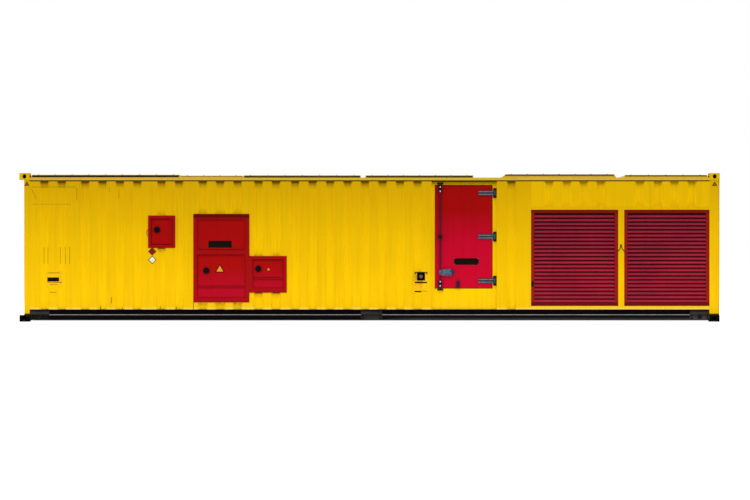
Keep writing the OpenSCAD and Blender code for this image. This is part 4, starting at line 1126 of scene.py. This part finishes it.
@dataclass
class WallMarks:
    """Bare foils, small plates, dirt, painted shade under the top rail and old glue lines on the yellow walls."""

    wall: Corrugation
    glue: tuple[Foil, ...] = (
        Foil((-5.884, -5.11), (2.344, 2.352)),
        Foil((-5.884, -5.2), (2.046, 2.052)),
        Foil((-5.802, -5.793), (2.13, 2.32), lean=-0.09),
        Foil((-5.1, -5.091), (2.115, 2.335)),
        Foil((-4.37, -4.363), (2.15, 2.3)),
        Foil((-4.53, -4.522), (2.26, 2.34)),
        *(Foil((x, x + 0.009), (1.01, 1.3)) for x in (-5.676, -5.606, -5.388, -5.302, -5.224)),
    )
    weeps: tuple[Foil, ...] = (
        Foil((-4.69, -4.68), (0.22, 0.28)),
        Foil((-4.5, -4.49), (0.32, 0.43)),
        Foil((-4.31, -4.3), (0.22, 0.25)),
        Foil((-3.65, -3.64), (0.22, 0.27)),
        Foil((-3.37, -3.36), (0.22, 0.27)),
        Foil((-3.073, -3.063), (0.22, 0.33)),
    )
    rating: tuple[Foil, ...] = (Foil((-5.631, -5.353), (0.593, 0.887)),)
    rating_band: tuple[Foil, ...] = (
        Foil((-5.612, -5.41), (0.702, 0.774)),
        Foil((-5.608, -5.354), (0.682, 0.69)),
    )
    rating_rows: tuple[Foil, ...] = (
        Foil((-5.61, -5.395), (0.845, 0.861)),
        Foil((-5.572, -5.434), (0.64, 0.656)),
        Foil((-5.567, -5.449), (0.505, 0.521)),
    )
    stop_x: Span = (0.783, 1.01)
    stop_z: Span = (0.5, 0.872)
    stop_bars: tuple[Foil, ...] = (
        Foil((0.786, 1.007), (0.855, 0.869)),
        Foil((0.786, 0.806), (0.826, 0.8546)),
        Foil((0.987, 1.007), (0.826, 0.8546)),
        Foil((0.79, 1.0), (0.672, 0.698)),
        Foil((0.786, 0.9), (0.516, 0.538)),
    )
    stop_rows: tuple[Foil, ...] = (
        Foil((0.906, 1.004), (0.527, 0.541)),
        Foil((0.866, 0.926), (0.652, 0.664)),
        Foil((0.884, 0.908), (0.603, 0.617)),
    )
    diamonds: tuple[BarePlate, ...] = (
        BarePlate("red_diamond_plate", 4, 0.06, 1.6 * MM, ((-3.783, 1.225),), RED_FOIL, Slot.RED),
        BarePlate("diamond_rims", 4, 0.0728, 1.2 * MM, ((-3.783, 1.225), (-3.783, 1.079)), BLACK_FOIL, Slot.PLASTIC),
        BarePlate("white_diamond_plate", 4, 0.058, 1.6 * MM, ((-3.783, 1.079),), WHITE_FOIL, Slot.YELLOW),
    )
    triangles: tuple[BarePlate, ...] = (
        BarePlate("post_triangle_rims", 3, 0.054, 0.8 * MM, ((-5.966, 2.396), (6.0075, 2.394)), BROWN_FOIL, Slot.BLACK),
        BarePlate("post_triangles", 3, 0.012, 1.2 * MM, ((-5.966, 2.396), (6.0075, 2.394)), AMBER_FOIL, Slot.YELLOW),
    )
    triangle_room: float = 1.2 * MM
    seam_x: Span = (-5.916, 1.073)
    header_x: Span = (1.078, 2.215)
    louvre_wall: Span = (2.218, 5.918)
    louvre_waves: tuple[float, ...] = (0.068, 0.246, 0.329, 0.408, 0.49, 0.673, 0.758, 0.835, 0.918)
    seam_top: float = 2.449
    seam_tall: float = 0.002
    seam_lift: float = 0.002
    seam_inset: float = 0.002
    header_tall: float = 0.014
    header_lift: float = 0.001

    def build(self) -> None:
        """Makes the marks where the object has them, and the painted shade under the top rail."""
        self.lay("old_sign_glue_lines", self.glue, OLD_GLUE)
        self.lay("rating_foil", self.rating, PALE_FOIL)
        self.lay("rating_foil_band", self.rating_band, BLACK_FOIL, Slot.PLASTIC, PRINT)
        self.lay("rating_foil_rows", self.rating_rows, FADED_PRINT, lift=PRINT)
        # The posts' triangles stay inside the CAD box.
        post = max(low("left_end_posts").y, CAD_BOX[0][1] + self.triangle_room)
        for face, plates in ((self.wall.face, self.diamonds), (post, self.triangles)):
            for bare in plates:
                bare.build(face)
        self.stop_foil()
        self.rail_seam()
        self.lay("weep_marks", self.weeps, SEAM_DIRT)

    def lay(
        self, name: str, foils: Iterable[Foil], finish: Finish, slot: Slot = Slot.YELLOW, lift: float = FILM
    ) -> None:
        """Lays foils on the long wall as one piece.

        Args:
            name: The piece's name.
            foils: Their edges.
            finish: Their material.
            slot: The record's material slot.
            lift: How far they stand off the wall.
        """
        make(name, self.wall.foils(foils, lift), finish, slot, smooth=False)

    def stop_foil(self) -> None:
        """Lays the foil round the stop button's cup in four strips a film apart, with dark bars and faded rows."""
        (left, right), (foot, top) = self.stop_x, self.stop_z
        cup_low, cup_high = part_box("stop_cup")
        strips = (
            Foil((left, right), (foot, cup_low.z)),
            Foil((left, cup_low.x), (cup_low.z + FILM, top)),
            Foil((cup_high.x, right), (cup_low.z + FILM, top)),
            Foil((cup_low.x + FILM, cup_high.x - FILM), (cup_high.z, top)),
        )
        self.lay("stop_foil", strips, PALE_FOIL)
        self.lay("stop_foil_bars", self.stop_bars, BLACK_FOIL, Slot.PLASTIC, PRINT)
        self.lay("stop_foil_rows", self.stop_rows, FADED_PRINT, lift=PRINT)

    def rail_seam(self) -> None:
        """Runs the dirty weld seam under the top rail, darkened further as painted shade, in and out of both walls'
        waves, and a painted shadow under the rail over the flat doorway.
        """
        start, end = self.louvre_wall
        other = Corrugation(middles=tuple(start + np.array(self.louvre_waves) * (end - start)))
        rows = (self.seam_top - self.seam_tall, self.seam_top)
        seams = (
            self.wall.foil(Foil(self.seam_x, rows), self.seam_lift),
            other.foil(Foil((start + self.seam_inset, end - self.seam_inset), rows), self.seam_lift),
        )
        make("top_rail_seam", Surface.joined(seams), RAIL_SHADE_AND_DIRT, Slot.YELLOW, smooth=False)
        doorway = Corrugation(face=low("door_jambs").y, depth=0.0)
        header = Foil(self.header_x, (self.seam_top - self.header_tall, self.seam_top))
        make("doorway_header_painted_shadow", doorway.foil(header, self.header_lift), RAIL_SHADE_AND_DIRT, Slot.YELLOW, smooth=False)


@dataclass
class ChassisRails:
    """Bolts and plugs of the closing plates on the lower side rails."""

    bolt: Span = (0.022, 0.006)
    bolt_inset: float = 0.032
    bolt_levels: Span = (0.062, 0.112)
    middle: Span = (-0.149, 0.217)
    end_length: float = 0.34
    plug: float = 0.04
    plug_sides: int = 28
    plug_level: float = 0.088
    plug_profile: Profile = ((0.0, 0.0), (0.0, 0.003), (0.004, 0.006), (0.012, 0.007), (0.014, 0.0045))

    def build(self) -> None:
        """Bolts each plate down in two rows and sets a plug in each end plate, on both long sides."""
        corner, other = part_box("rail_closing_plates")
        left = (corner.x, corner.x + self.end_length)
        right = (other.x - self.end_length, other.x)
        bolts = [
            (x, 0.0, z)
            for a, b in (left, self.middle, right)
            for x in (a + self.bolt_inset, b - self.bolt_inset)
            for z in self.bolt_levels
        ]
        plugs = [(sum(span) / 2, 0.0, self.plug_level) for span in (left, right)]
        heads = hex_bolt(*self.bolt).on_both_sides(np.array(bolts), corner.y, other.y)
        make("closing_plate_bolts", heads, DARK_STEEL, Slot.BLACK, smooth=False)
        plug = plate(regular_polygon(self.plug_sides, self.plug), self.plug_profile)
        caps = plug.on_both_sides(np.array(plugs), corner.y, other.y)
        make("closing_plate_plugs", caps, DARK_STEEL, Slot.BLACK)


@dataclass
class Louvres:
    """Screws, rivets, filter mats, latch and wire clip of the air louvres."""

    left: Span = (2.811, 4.33)
    right: Span = (4.433, 5.918)
    level: Span = (0.276, 1.952)
    bar: float = 0.058
    screw: Span = (0.008, 0.0035)
    screws_across: int = 6
    screws_up: int = 7
    rivet: Span = (0.0055, 0.0025)
    rivet_sides: int = 8
    rivet_shares: tuple[float, ...] = (0.25, 0.5, 0.75)
    lip_sink: float = 0.004
    first_lip: float = 0.349
    pitch: float = 0.067
    blades: int = 23
    mat_face: float = 1.136
    mat_inset: float = 0.02
    mat_lift: float = 0.002
    pleat: float = 0.06
    pleat_depth: float = 0.03
    pleat_flat: float = 0.006
    first_pleat: float = 0.05
    last_pleat: float = 0.04
    latch_place: Span = (2.838, 0.662)
    latch_plate: Point = (0.045, 0.095, 0.01)
    latch_grip: Point = (0.018, 0.06, 0.009)
    latch_body: Profile = ((0.0, 0.0), (0.0, 0.004), (0.002, 0.006))
    latch_knob: Profile = ((0.0, 0.004), (0.0, 0.011), (0.003, 0.013))
    latch_screw: Span = (0.004, 0.002)
    latch_screw_up: float = 0.038
    clip_bends: Profile = (
        (4.325, 1.225), (4.362, 1.275), (4.372, 1.345), (4.382, 1.345), (4.395, 1.275), (4.437, 1.225)
    )
    clip_bend: float = 0.012
    clip_section: Point = (0.013, 0.007, 0.003)
    clip_room: float = 0.0038

    def build(self) -> None:
        """Makes the small pieces on the front louvres, and the screws, rivets and mats on the rear ones."""
        face, back = low("front_louvres").y, high("rear_louvres").y
        self.screws(face, back)
        self.rivets(face + self.lip_sink, back - self.lip_sink)
        self.filter_mats()
        self.latch(face)
        self.clip()

    def screws(self, face: float, back: float) -> None:
        """Sets screws along the middle of each frame's bars.

        Args:
            face: Depth of the front frames' faces.
            back: Depth of the rear frames' faces.
        """
        half = self.bar / 2
        z = (self.level[0] + half, self.level[1] - half)
        rings = [
            frame_places((a + half, b - half), z, 0.0, self.screws_across, self.screws_up)
            for a, b in (self.left, self.right)
        ]
        heads = dome_head(*self.screw).on_both_sides(np.concatenate(rings), face, back)
        make("louvre_frame_screws", heads, LOUVRE_ENAMEL, Slot.RED)

    def rivets(self, face: float, back: float) -> None:
        """Rivets every blade's lip to the stiffeners behind it.

        Args:
            face: Depth of the front lips.
            back: Depth of the rear lips.
        """
        lips = self.first_lip + self.pitch * np.arange(self.blades)
        columns = [a + share * (b - a) for a, b in (self.left, self.right) for share in self.rivet_shares]
        places = np.array([(x, 0.0, z) for x in columns for z in lips])
        rivets = dome_head(*self.rivet, self.rivet_sides, steps=3).on_both_sides(places, face, back)
        make("blade_rivets", rivets, DARK_STEEL, Slot.RED)

    def filter_mats(self) -> None:
        """Stands a pleated mat behind each louvre, on both long sides: a film along a wave of even pleats."""
        foot, top = self.level[0] + self.mat_inset, self.level[1] - self.mat_inset
        slope = self.pleat / 2 - self.pleat_flat
        mats = []
        for a, b in (self.left, self.right):
            middles = tuple(np.arange(a + self.first_pleat, b - self.last_pleat, self.pleat))
            mat = Foil((a + self.mat_inset, b - self.mat_inset), (foot, top))
            for face in (-self.mat_face, self.mat_face - self.pleat_depth):
                wave = Corrugation(face, self.pleat_depth, self.pleat_flat, slope, middles=middles)
                mats.append(wave.foil(mat, self.mat_lift))
        make("louvre_filter_mats", Surface.joined(mats), FILTER_FELT, Slot.PLASTIC, smooth=False)

    def latch(self, face: float) -> None:
        """Makes the turn latch on the left louvre's frame: a rounded plate, a knob and two screws.

        Args:
            face: Depth of the frame's face.
        """
        body = plate(rounded_rectangle(*self.latch_plate), self.latch_body)
        knob = plate(rounded_rectangle(*self.latch_grip), self.latch_knob)
        front = -self.latch_body[-1][1]
        screws = dome_head(*self.latch_screw).at([(0.0, front, side * self.latch_screw_up) for side in (-1, 1)])
        x, z = self.latch_place
        make("louvre_latch", Surface.joined((body, knob, screws)).at([(x, face, z)]), DARK_STEEL, Slot.BLACK)

    def clip(self) -> None:
        """Bends the wire clip over the mullion: two legs and a hook, on a path with rounded corners."""
        y = CAD_BOX[0][1] + self.clip_room
        path = bent_path([(x, y, z) for x, z in self.clip_bends], self.clip_bend)
        wire = sweep(path, rounded_rectangle(*self.clip_section)(0.0))
        make("louvre_wire_clip", wire, DARK_STEEL, Slot.ZINC)


@dataclass(frozen=True)
class Cover:
    """A roof cover: its ends as shares of the roof's length, and its height as a share of the tallest."""

    start: float
    end: float
    rise: float


@dataclass
class RoofCovers:
    """Dark seal strips, thin lips and bolts on the covers' long edges."""

    left: float = -5.918
    length: float = 11.844
    rise: float = 0.058
    rail_top: float = 2.511
    face: float = 1.193
    seals: tuple[tuple[Cover, float], ...] = (
        (Cover(0.0021, 0.221, 0.86), 0.01),
        (Cover(0.314, 0.4874, 0.72), 0.002),
        (Cover(0.4933, 0.6529, 0.72), 0.002),
    )
    seal_share: float = 0.62
    seal_inset: float = 0.02
    lips: tuple[tuple[Cover, float], ...] = (
        (Cover(0.2215, 0.3135, 0.57), 0.006),
        (Cover(0.6985, 0.8595, 1.0), 0.022),
        (Cover(0.8745, 0.9965, 0.78), 0.018),
    )
    lip_inset: float = 0.01
    lip_drop: float = 0.0015
    strip_thick: float = 0.005
    strip_radius: float = 0.002
    strip_off: float = 0.0022
    strip_points: int = 30
    bolt: Span = (0.019, 0.007)
    bolt_edge: float = 0.045
    bolt_inset: float = 0.12
    bolt_pitch: float = 0.3

    def build(self) -> None:
        """Lays a rubber strip along three covers and a lip on the top edge of the others, and bolts all down."""
        seals, lips = [], []
        for cover, lift in self.seals:
            tall = self.rise * cover.rise * self.seal_share
            seals += self.edge(cover, self.seal_inset, tall, self.rail_top + lift + tall / 2)
        for cover, tall in self.lips:
            lips += self.edge(cover, self.lip_inset, tall, self.top(cover) - tall / 2 - self.lip_drop)
        make("roof_cover_seals", Surface.joined(seals), BLACK_RUBBER, Slot.PLASTIC)
        make("roof_cover_lips", Surface.joined(lips), BROWN_RUBBER, Slot.PLASTIC)
        self.bolts()

    def top(self, cover: Cover) -> float:
        """Gives the height of a cover's top."""
        return self.rail_top + self.rise * cover.rise

    def span(self, cover: Cover, inset: float) -> Span:
        """Gives a cover's two ends along the roof, less an inset."""
        return self.left + cover.start * self.length + inset, self.left + cover.end * self.length - inset

    def edge(self, cover: Cover, inset: float, tall: float, level: float) -> list[Surface]:
        """Carries a flat rounded section along both long edges of one cover.

        Args:
            cover: The cover.
            inset: How far the strip stays inside both ends.
            tall: Height of the strip.
            level: Height of the strip's middle.

        Returns:
            The front strip and the rear one.
        """
        along = np.linspace(*self.span(cover, inset), self.strip_points)
        path = np.stack([along, np.zeros_like(along), np.zeros_like(along)], axis=1)
        section = rounded_rectangle(tall, self.strip_thick, self.strip_radius, 3)(0.0)[::-1]
        strip = sweep(path, section)
        return [strip.at([(0.0, side * (self.face + self.strip_off), level)]) for side in (-1, 1)]

    def bolts(self) -> None:
        """Sets bolts with washers along both long edges of every cover's top."""
        places = []
        for cover, _ in (*self.seals, *self.lips):
            a, b = self.span(cover, self.bolt_inset)
            across = np.linspace(a, b, round((b - a) / self.bolt_pitch) + 1)
            places += [(x, side * (self.face - self.bolt_edge), self.top(cover)) for x in across for side in (-1, 1)]
        make("roof_cover_bolts", hex_bolt(*self.bolt).turned(Facing.UP).at(places), ZINC, Slot.ZINC, smooth=False)


@dataclass
class AccessDoor:
    """Seal, bolts, nuts, catch and bare plate of the red access door."""

    x: Span = (1.144, 2.135)
    z: Span = (0.588, 2.376)
    face: float = -1.183
    back: float = -1.133
    plate_size: Span = (0.432, 0.114)
    plate_place: Span = (1.686, 1.05)
    plate_thick: float = 1.5 * MM
    plate_radius: float = 0.006
    rivet: Span = (0.004, 0.0018)
    rivet_x: Span = (1.482, 1.89)
    rivet_z: Span = (1.005, 1.095)
    catch_size: Point = (0.066, 0.126, 0.012)
    catch_share: float = 0.364
    catch_offset: float = 0.0345
    catch_level: float = 0.655
    catch_profile: Profile = ((0.0, 0.0), (0.0, 0.002), (0.0015, 0.0035))
    seal_inset: float = 0.012
    seal_radius: float = 0.03
    bulb: float = 0.0065
    seal_steps: int = 8
    strap_face: float = -1.193
    strap_levels: tuple[float, ...] = (0.714, 1.4838, 2.243)
    strap_bolt: Span = (0.01, 0.002)
    strap_bolt_x: tuple[float, ...] = (1.93, 2.015, 2.09)
    rod_x: float = 1.231
    guide_shares: Span = (0.042, 0.963)
    nut: Span = (0.013, 0.0022)
    nut_up: float = 0.036

    def build(self) -> None:
        """Makes the door's small pieces."""
        self.seal()
        straps = [(x, self.strap_face, z) for z in self.strap_levels for x in self.strap_bolt_x]
        self.fit("strap_bolts", dome_head(*self.strap_bolt).at(straps), STRAP_ZINC, Slot.ZINC)
        self.guide_nuts()
        slab = sheet_plate(rounded_rectangle(*self.plate_size, self.plate_radius), self.plate_thick)
        x, z = self.plate_place
        self.fit("door_bare_plate", slab.at([(x, self.face, z)]), BLACK_FOIL, Slot.PLASTIC)
        corners = frame_places(self.rivet_x, self.rivet_z, self.face - self.plate_thick, 2, 2)
        self.fit("door_plate_rivets", dome_head(*self.rivet).at(corners), BRIGHT_ZINC, Slot.ZINC)
        catch = plate(rounded_rectangle(*self.catch_size), self.catch_profile)
        x = self.x[0] + self.catch_share * (self.x[1] - self.x[0]) + self.catch_offset
        place = (x, low("access_door_leaf").y, self.catch_level)
        self.fit("door_catch_cover", catch.at([place]), MAROON_ENAMEL, Slot.BLACK)

    def fit(self, name: str, surface: Surface, finish: Finish, slot: Slot) -> None:
        """Makes a piece that moves with the door."""
        make(name, surface, finish, slot, Body.ACCESS_DOOR)

    def seal(self) -> None:
        """Runs a bulb seal round the back of the leaf: a round section on a ring with rounded corners."""
        (left, right), (foot, top) = self.x, self.z
        wide, tall = right - left - 2 * self.seal_inset, top - foot - 2 * self.seal_inset
        across, up = rounded_rectangle(wide, tall, self.seal_radius, self.seal_steps)(0.0).T
        middle = ((left + right) / 2, self.back + self.bulb, (foot + top) / 2)
        path = np.stack([across, np.zeros_like(across), up], axis=1) + middle
        ring = sweep(path, circle(self.bulb, self.seal_steps), ring=True)
        self.fit("door_bulb_seal", ring, BLACK_RUBBER, Slot.PLASTIC)

    def guide_nuts(self) -> None:
        """Puts two bright domed nuts on each end guide, in front of the rod."""
        levels = self.z[0] + np.array(self.guide_shares) * (self.z[1] - self.z[0])
        face = low("lock_rod_guides").y
        places = [(self.rod_x, face, z + up) for z in levels for up in (-self.nut_up, self.nut_up)]
        self.fit("guide_nuts", dome_head(*self.nut).at(places), BRIGHT_ZINC, Slot.ZINC)


@dataclass
class SwitchCabinets:
    """Lock dials, bare plates, screws, foam with painted shadow, drain stubs and seal wire of the red cabinets."""

    wall: Corrugation
    locks: tuple[tuple[str, Body], ...] = (
        ("fuel_door_lock", Body.FUEL_DOOR),
        ("power_panel_lock", Body.PANEL_DOOR),
        ("side_box_lock", Body.BOX_DOOR),
    )
    rim: Profile = ((0.0, -0.004), (0.0, 0.002), (0.0015, 0.0035), (0.006, 0.0035), (0.0085, 0.001), (0.009, -0.002))
    grip: Profile = ((0.0, -0.002), (0.0, 0.002), (0.002, 0.0042))
    key: Profile = ((0.0, 0.0), (0.0, 0.0042), (0.001, 0.0046), (0.006, 0.0046), (0.0065, 0.003))
    rim_sides: int = 40
    key_sides: int = 20
    grip_share: Point = (1.3, 0.42, 0.2)
    key_share: Point = (0.2, -0.55, -0.5)
    frames: tuple[str, ...] = ("fuel_cabinet_frame", "power_panel_frame", "side_box_frame")
    screw: Span = (0.006, 0.0009)
    screw_inset: float = 0.016
    screw_pitch: float = 0.2
    sealed: tuple[str, ...] = ("fuel_cabinet_frame", "side_box_frame")
    foam_wide: float = 0.124
    foam_z: Span = (-0.014, 0.01)
    foam_lift: float = 0.001
    drain_x: Span = (-2.617, -2.333)
    drain_z: Span = (0.002, -0.022)
    drain_set_in: float = 0.006
    drain_radius: float = 0.0055
    plate_size: Span = (0.406, 0.12)
    plate_place: Span = (-2.602, 1.352)
    plate_thick: float = 1.5 * MM
    plate_radius: float = 0.006
    door_face: float = -1.2
    bare_plates: tuple[BarePlate, ...] = (
        BarePlate("panel_triangle_rim", 3, 0.098, 1 * MM, ((-2.607, 0.91),), BLACK_FOIL, Slot.PLASTIC, Body.PANEL_DOOR),
        BarePlate(
            "panel_triangle_plate", 3, 0.07, 1.4 * MM, ((-2.607, 0.91),), AMBER_FOIL, Slot.YELLOW, Body.PANEL_DOOR
        ),
        BarePlate("box_triangle_plate", 3, 0.026, 1 * MM, ((-1.759, 0.912),), AMBER_FOIL, Slot.YELLOW, Body.BOX_DOOR),
    )
    wire_bends: Profile = ((0.012, 1.62), (-0.012, 1.6), (-0.024, 1.55), (-0.012, 1.505), (0.012, 1.5))
    wire_bend: float = 0.016
    wire_radius: float = 0.0045
    wire_set_in: float = 0.0036

    def build(self) -> None:
        """Makes the cabinets' small pieces."""
        for node, body in self.locks:
            self.dial(node, body)
        self.frame_screws()
        self.foam_seals()
        self.drains()
        slab = sheet_plate(rounded_rectangle(*self.plate_size, self.plate_radius), self.plate_thick)
        x, z = self.plate_place
        make("panel_bare_plate", slab.at([(x, low("power_panel_covers").y, z)]), BLACK_FOIL, Slot.PLASTIC)
        for bare in self.bare_plates:
            bare.build(self.door_face)
        self.seal_wire()

    def dial(self, node: str, body: Body) -> None:
        """Puts a rim, a grip bar and a key cylinder on a lock's disc.

        Args:
            node: The lock's CAD node.
            body: The door it sits on.
        """
        corner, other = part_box(node)
        x, z, radius = (corner.x + other.x) / 2, (corner.z + other.z) / 2, (other.x - corner.x) / 2
        rim = plate(regular_polygon(self.rim_sides, radius), self.rim)
        grip = plate(rounded_rectangle(*(radius * share for share in self.grip_share)), self.grip)
        key_radius, key_x, key_z = (radius * share for share in self.key_share)
        key = plate(regular_polygon(self.key_sides, key_radius), self.key).at([(key_x, 0.0, key_z)])
        dial = Surface.joined((rim, grip, key)).at([(x, corner.y, z)])
        make(node + "_dial", dial, BLACK_NYLON, Slot.PLASTIC, body)

    def frame_screws(self) -> None:
        """Sets flat screws along the edges of each cabinet frame, about a pitch apart."""
        rings = []
        for node in self.frames:
            corner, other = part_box(node)
            x, z = ((corner[i] + self.screw_inset, other[i] - self.screw_inset) for i in (0, 2))
            across, up = (max(2, round((other[i] - corner[i]) / self.screw_pitch)) for i in (0, 2))
            rings.append(frame_places(x, z, corner.y, across, up))
        make("cabinet_frame_screws", dome_head(*self.screw).at(np.concatenate(rings)), FRAME_ENAMEL, Slot.RED)

    def foam_seals(self) -> None:
        """Closes the wall's waves below the fuel cabinet and the side box with dark foam strips, which also stand in
        for the shadow that the frames cast into the waves.
        """
        strips, half = [], self.foam_wide / 2
        for node in self.sealed:
            corner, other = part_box(node)
            z = tuple(corner.z + offset for offset in self.foam_z)
            behind = (self.wall.centres > corner.x) & (self.wall.centres < other.x)
            strips += [Foil((x - half, x + half), z) for x in self.wall.centres[behind]]
        make("frame_foam_shadow_seals", self.wall.foils(strips, self.foam_lift), BLACK_RUBBER, Slot.PLASTIC, smooth=False)

    def drains(self) -> None:
        """Lets two drain stubs hang under the power panel: a round section down a short path."""
        foot = low("power_panel_frame")
        path = np.array([(0.0, foot.y + self.drain_set_in, foot.z + offset) for offset in self.drain_z])
        stubs = sweep(path, circle(self.drain_radius)).at([(x, 0.0, 0.0) for x in self.drain_x])
        make("panel_drain_stubs", stubs, DARK_STEEL, Slot.BLACK)

    def seal_wire(self) -> None:
        """Hangs the wire loop at the fuel cabinet's left edge, on a path with rounded corners."""
        corner = low("fuel_cabinet_frame")
        loop = [(corner.x + offset, corner.y + self.wire_set_in, z) for offset, z in self.wire_bends]
        wire = sweep(bent_path(loop, self.wire_bend), circle(self.wire_radius))
        make("fuel_cabinet_seal_wire", wire, DARK_STEEL, Slot.ZINC)


@dataclass
class EndDoors:
    """Bolts and seals of the two doors at the left end."""

    face: float = -5.962
    post_y: float = 1.103
    z: Span = (0.216, 2.449)
    hinge_shares: tuple[float, ...] = (0.1, 0.36, 0.64, 0.9)
    strap_thick: float = 0.01
    bolt: Span = (0.016, 0.006)
    bolt_insets: Span = (0.05, 0.08)
    bolt_ups: Span = (-0.022, 0.022)
    meeting_gap: float = 0.004
    seal_inset: float = 0.006
    seal_corner: float = 0.02
    seal_radius: float = 0.006
    seal_steps: int = 8

    def build(self) -> None:
        """Makes the left end's small pieces."""
        self.bolts()
        self.seals()

    def bolts(self) -> None:
        """Bolts every hinge strap down with four heads."""
        foot, top = self.z
        levels = foot + np.array(self.hinge_shares) * (top - foot)
        places = [
            (self.face - self.strap_thick, side * (self.post_y - inset), z + up)
            for side in (-1, 1)
            for z in levels
            for inset in self.bolt_insets
            for up in self.bolt_ups
        ]
        heads = hex_bolt(*self.bolt).turned(Facing.LEFT).at(places)
        make("end_hinge_bolts", heads, ZINC, Slot.ZINC, smooth=False)

    def seals(self) -> None:
        """Runs a rubber lip round each end door: a round section on a ring with rounded corners."""
        foot, top = self.z
        wide, tall = self.post_y - self.meeting_gap, top - foot
        outline = rounded_rectangle(wide - 2 * self.seal_inset, tall - 2 * self.seal_inset, self.seal_corner)
        across, up = outline(0.0).T
        rings = []
        for side in (-1, 1):
            middle = side * (wide / 2 + self.meeting_gap)
            path = np.stack([np.full_like(across, self.face), across + middle, up + (foot + top) / 2], axis=1)
            rings.append(sweep(path, circle(self.seal_radius, self.seal_steps), ring=True))
        make("end_door_seals", Surface.joined(rings), BLACK_RUBBER, Slot.PLASTIC)


@dataclass(frozen=True)
class SoftLamp:
    """One rectangular lamp that the camera and mirrors don't see; its power is in watts."""

    name: str
    place: Point
    target: Point
    size: Span
    power: float

    def build(self) -> None:
        """Hangs the lamp at its place and points it at its target."""
        data = bpy.data.lights.new(self.name, "AREA")
        data.shape = "RECTANGLE"
        data.size, data.size_y = self.size
        data.energy = self.power
        lamp = bpy.data.objects.new(self.name, data)
        way = Vector(self.target) - Vector(self.place)
        lamp.matrix_world = Matrix.Translation(self.place) @ way.to_track_quat("-Z", "Y").to_matrix().to_4x4()
        lamp.visible_camera = False
        lamp.visible_glossy = False
        bpy.context.scene.collection.objects.link(lamp)


@dataclass
class Studio:
    """White floor and background, a long high sky band as key, soft boxes for the other sides and the camera."""

    wide: float = 13.054
    aim: Span = (0.095, 1.2506)
    away: float = 40.0
    front: float = -1.219
    sensor: float = 36.0
    clip_end: float = 500.0
    sky: float = 0.3
    floor_reach: float = 160.0
    floor_glow: float = 0.8
    floor_bounce: str = "#8A8A88"
    floor_shown: str = "#F4F4F4"
    lamps: tuple[SoftLamp, ...] = (
        SoftLamp("front_sky_band", (0.0, -15.0, 27.0), (0.0, -1.2, 1.2), (160.0, 16.0), 25600.0),
        SoftLamp("front_floor_bounce", (0.0, -2.32, 0.03), (0.0, -2.32, 5.0), (60.0, 1.8), 490.0),
        SoftLamp("rear_softbox", (0.0, 9.0, 7.5), (0.0, 1.2, 1.2), (26.0, 6.0), 1050.0),
        SoftLamp("left_softbox", (-12.0, 0.0, 5.0), (-6.0, 0.0, 1.2), (2.3, 4.0), 225.0),
        SoftLamp("right_softbox", (12.0, 0.0, 5.0), (6.0, 0.0, 1.2), (2.3, 4.0), 225.0),
    )

    def build(self) -> None:
        """Sets up everything that isn't the object."""
        bpy.context.scene.view_settings.view_transform = "Standard"
        self.camera()
        self.background()
        self.floor()
        for lamp in self.lamps:
            lamp.build()

    def camera(self) -> None:
        """Looks level and square at the door side from far off."""
        data = bpy.data.cameras.new("photo_camera")
        data.sensor_width = self.sensor
        data.lens = self.sensor * self.away / self.wide
        data.clip_end = self.clip_end
        camera = bpy.data.objects.new("photo_camera", data)
        camera.location = (self.aim[0], self.front - self.away, self.aim[1])
        camera.rotation_euler = (np.pi / 2, 0.0, 0.0)
        bpy.context.scene.collection.objects.link(camera)
        bpy.context.scene.camera = camera

    def seen(self, tree: Tree) -> Node:
        """Tells rays that see the background from rays that carry light.

        Args:
            tree: The node tree it is added to.

        Returns:
            A node that gives 1 for camera, mirror and glass rays and 0 for the rest.
        """
        path = add(tree, "LightPath").outputs
        glass = {0: path["Is Glossy Ray"], 1: path["Is Transmission Ray"]}
        mirrored = add(tree, "Math", glass, operation="MAXIMUM")
        return add(tree, "Math", {0: path["Is Camera Ray"], 1: mirrored}, operation="MAXIMUM")

    def background(self) -> None:
        """Makes the world white to look at and softer as a light."""
        world = bpy.data.worlds.new("white_studio")
        bpy.context.scene.world = world
        world.use_nodes = True
        tree = world.node_tree
        tree.nodes.clear()
        strength = add(tree, "MapRange", {"Value": self.seen(tree), LEAST: self.sky, MOST: 1.0})
        add(tree, "OutputWorld", {"Surface": add(tree, "Background", {"Color": WHITE, "Strength": strength})})

    def floor(self) -> None:
        """Lays a pale matt floor that looks white and keeps the object's shadow."""
        mesh = bpy.data.meshes.new("studio_floor")
        corners = np.array([(-1, -1, 0), (1, -1, 0), (1, 1, 0), (-1, 1, 0)]) * self.floor_reach
        mesh.from_pydata(corners, [], [(0, 1, 2, 3)])
        material, tree = empty_material("matt_white_floor")
        bounce = add(tree, "BsdfDiffuse", {"Color": linear(self.floor_bounce)})
        glow = add(tree, "Emission", {"Color": WHITE, "Strength": self.floor_glow})
        soft = add(tree, "BsdfDiffuse", {"Color": linear(self.floor_shown)})
        shown = add(tree, "AddShader", {0: glow, 1: soft})
        both = add(tree, "MixShader", {0: self.seen(tree), 1: bounce, 2: shown})
        add(tree, "OutputMaterial", {"Surface": both})
        mesh.materials.append(material)
        floor = bpy.data.objects.new("studio_floor", mesh)
        bpy.context.scene.collection.objects.link(floor)


def main() -> None:
    """Builds the finishes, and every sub-assembly and the studio."""
    logging.basicConfig(level=logging.INFO, format="%(name)s: %(message)s")
    wall = Corrugation()
    assemblies = (
        Paintwork(),
        WallMarks(wall),
        ChassisRails(),
        Louvres(),
        RoofCovers(),
        AccessDoor(),
        SwitchCabinets(wall),
        EndDoors(),
        Studio(),
    )
    for assembly in assemblies:
        assembly.build()
        LOG.info("%s built", type(assembly).__name__)


if __name__ == "__main__":
    main()
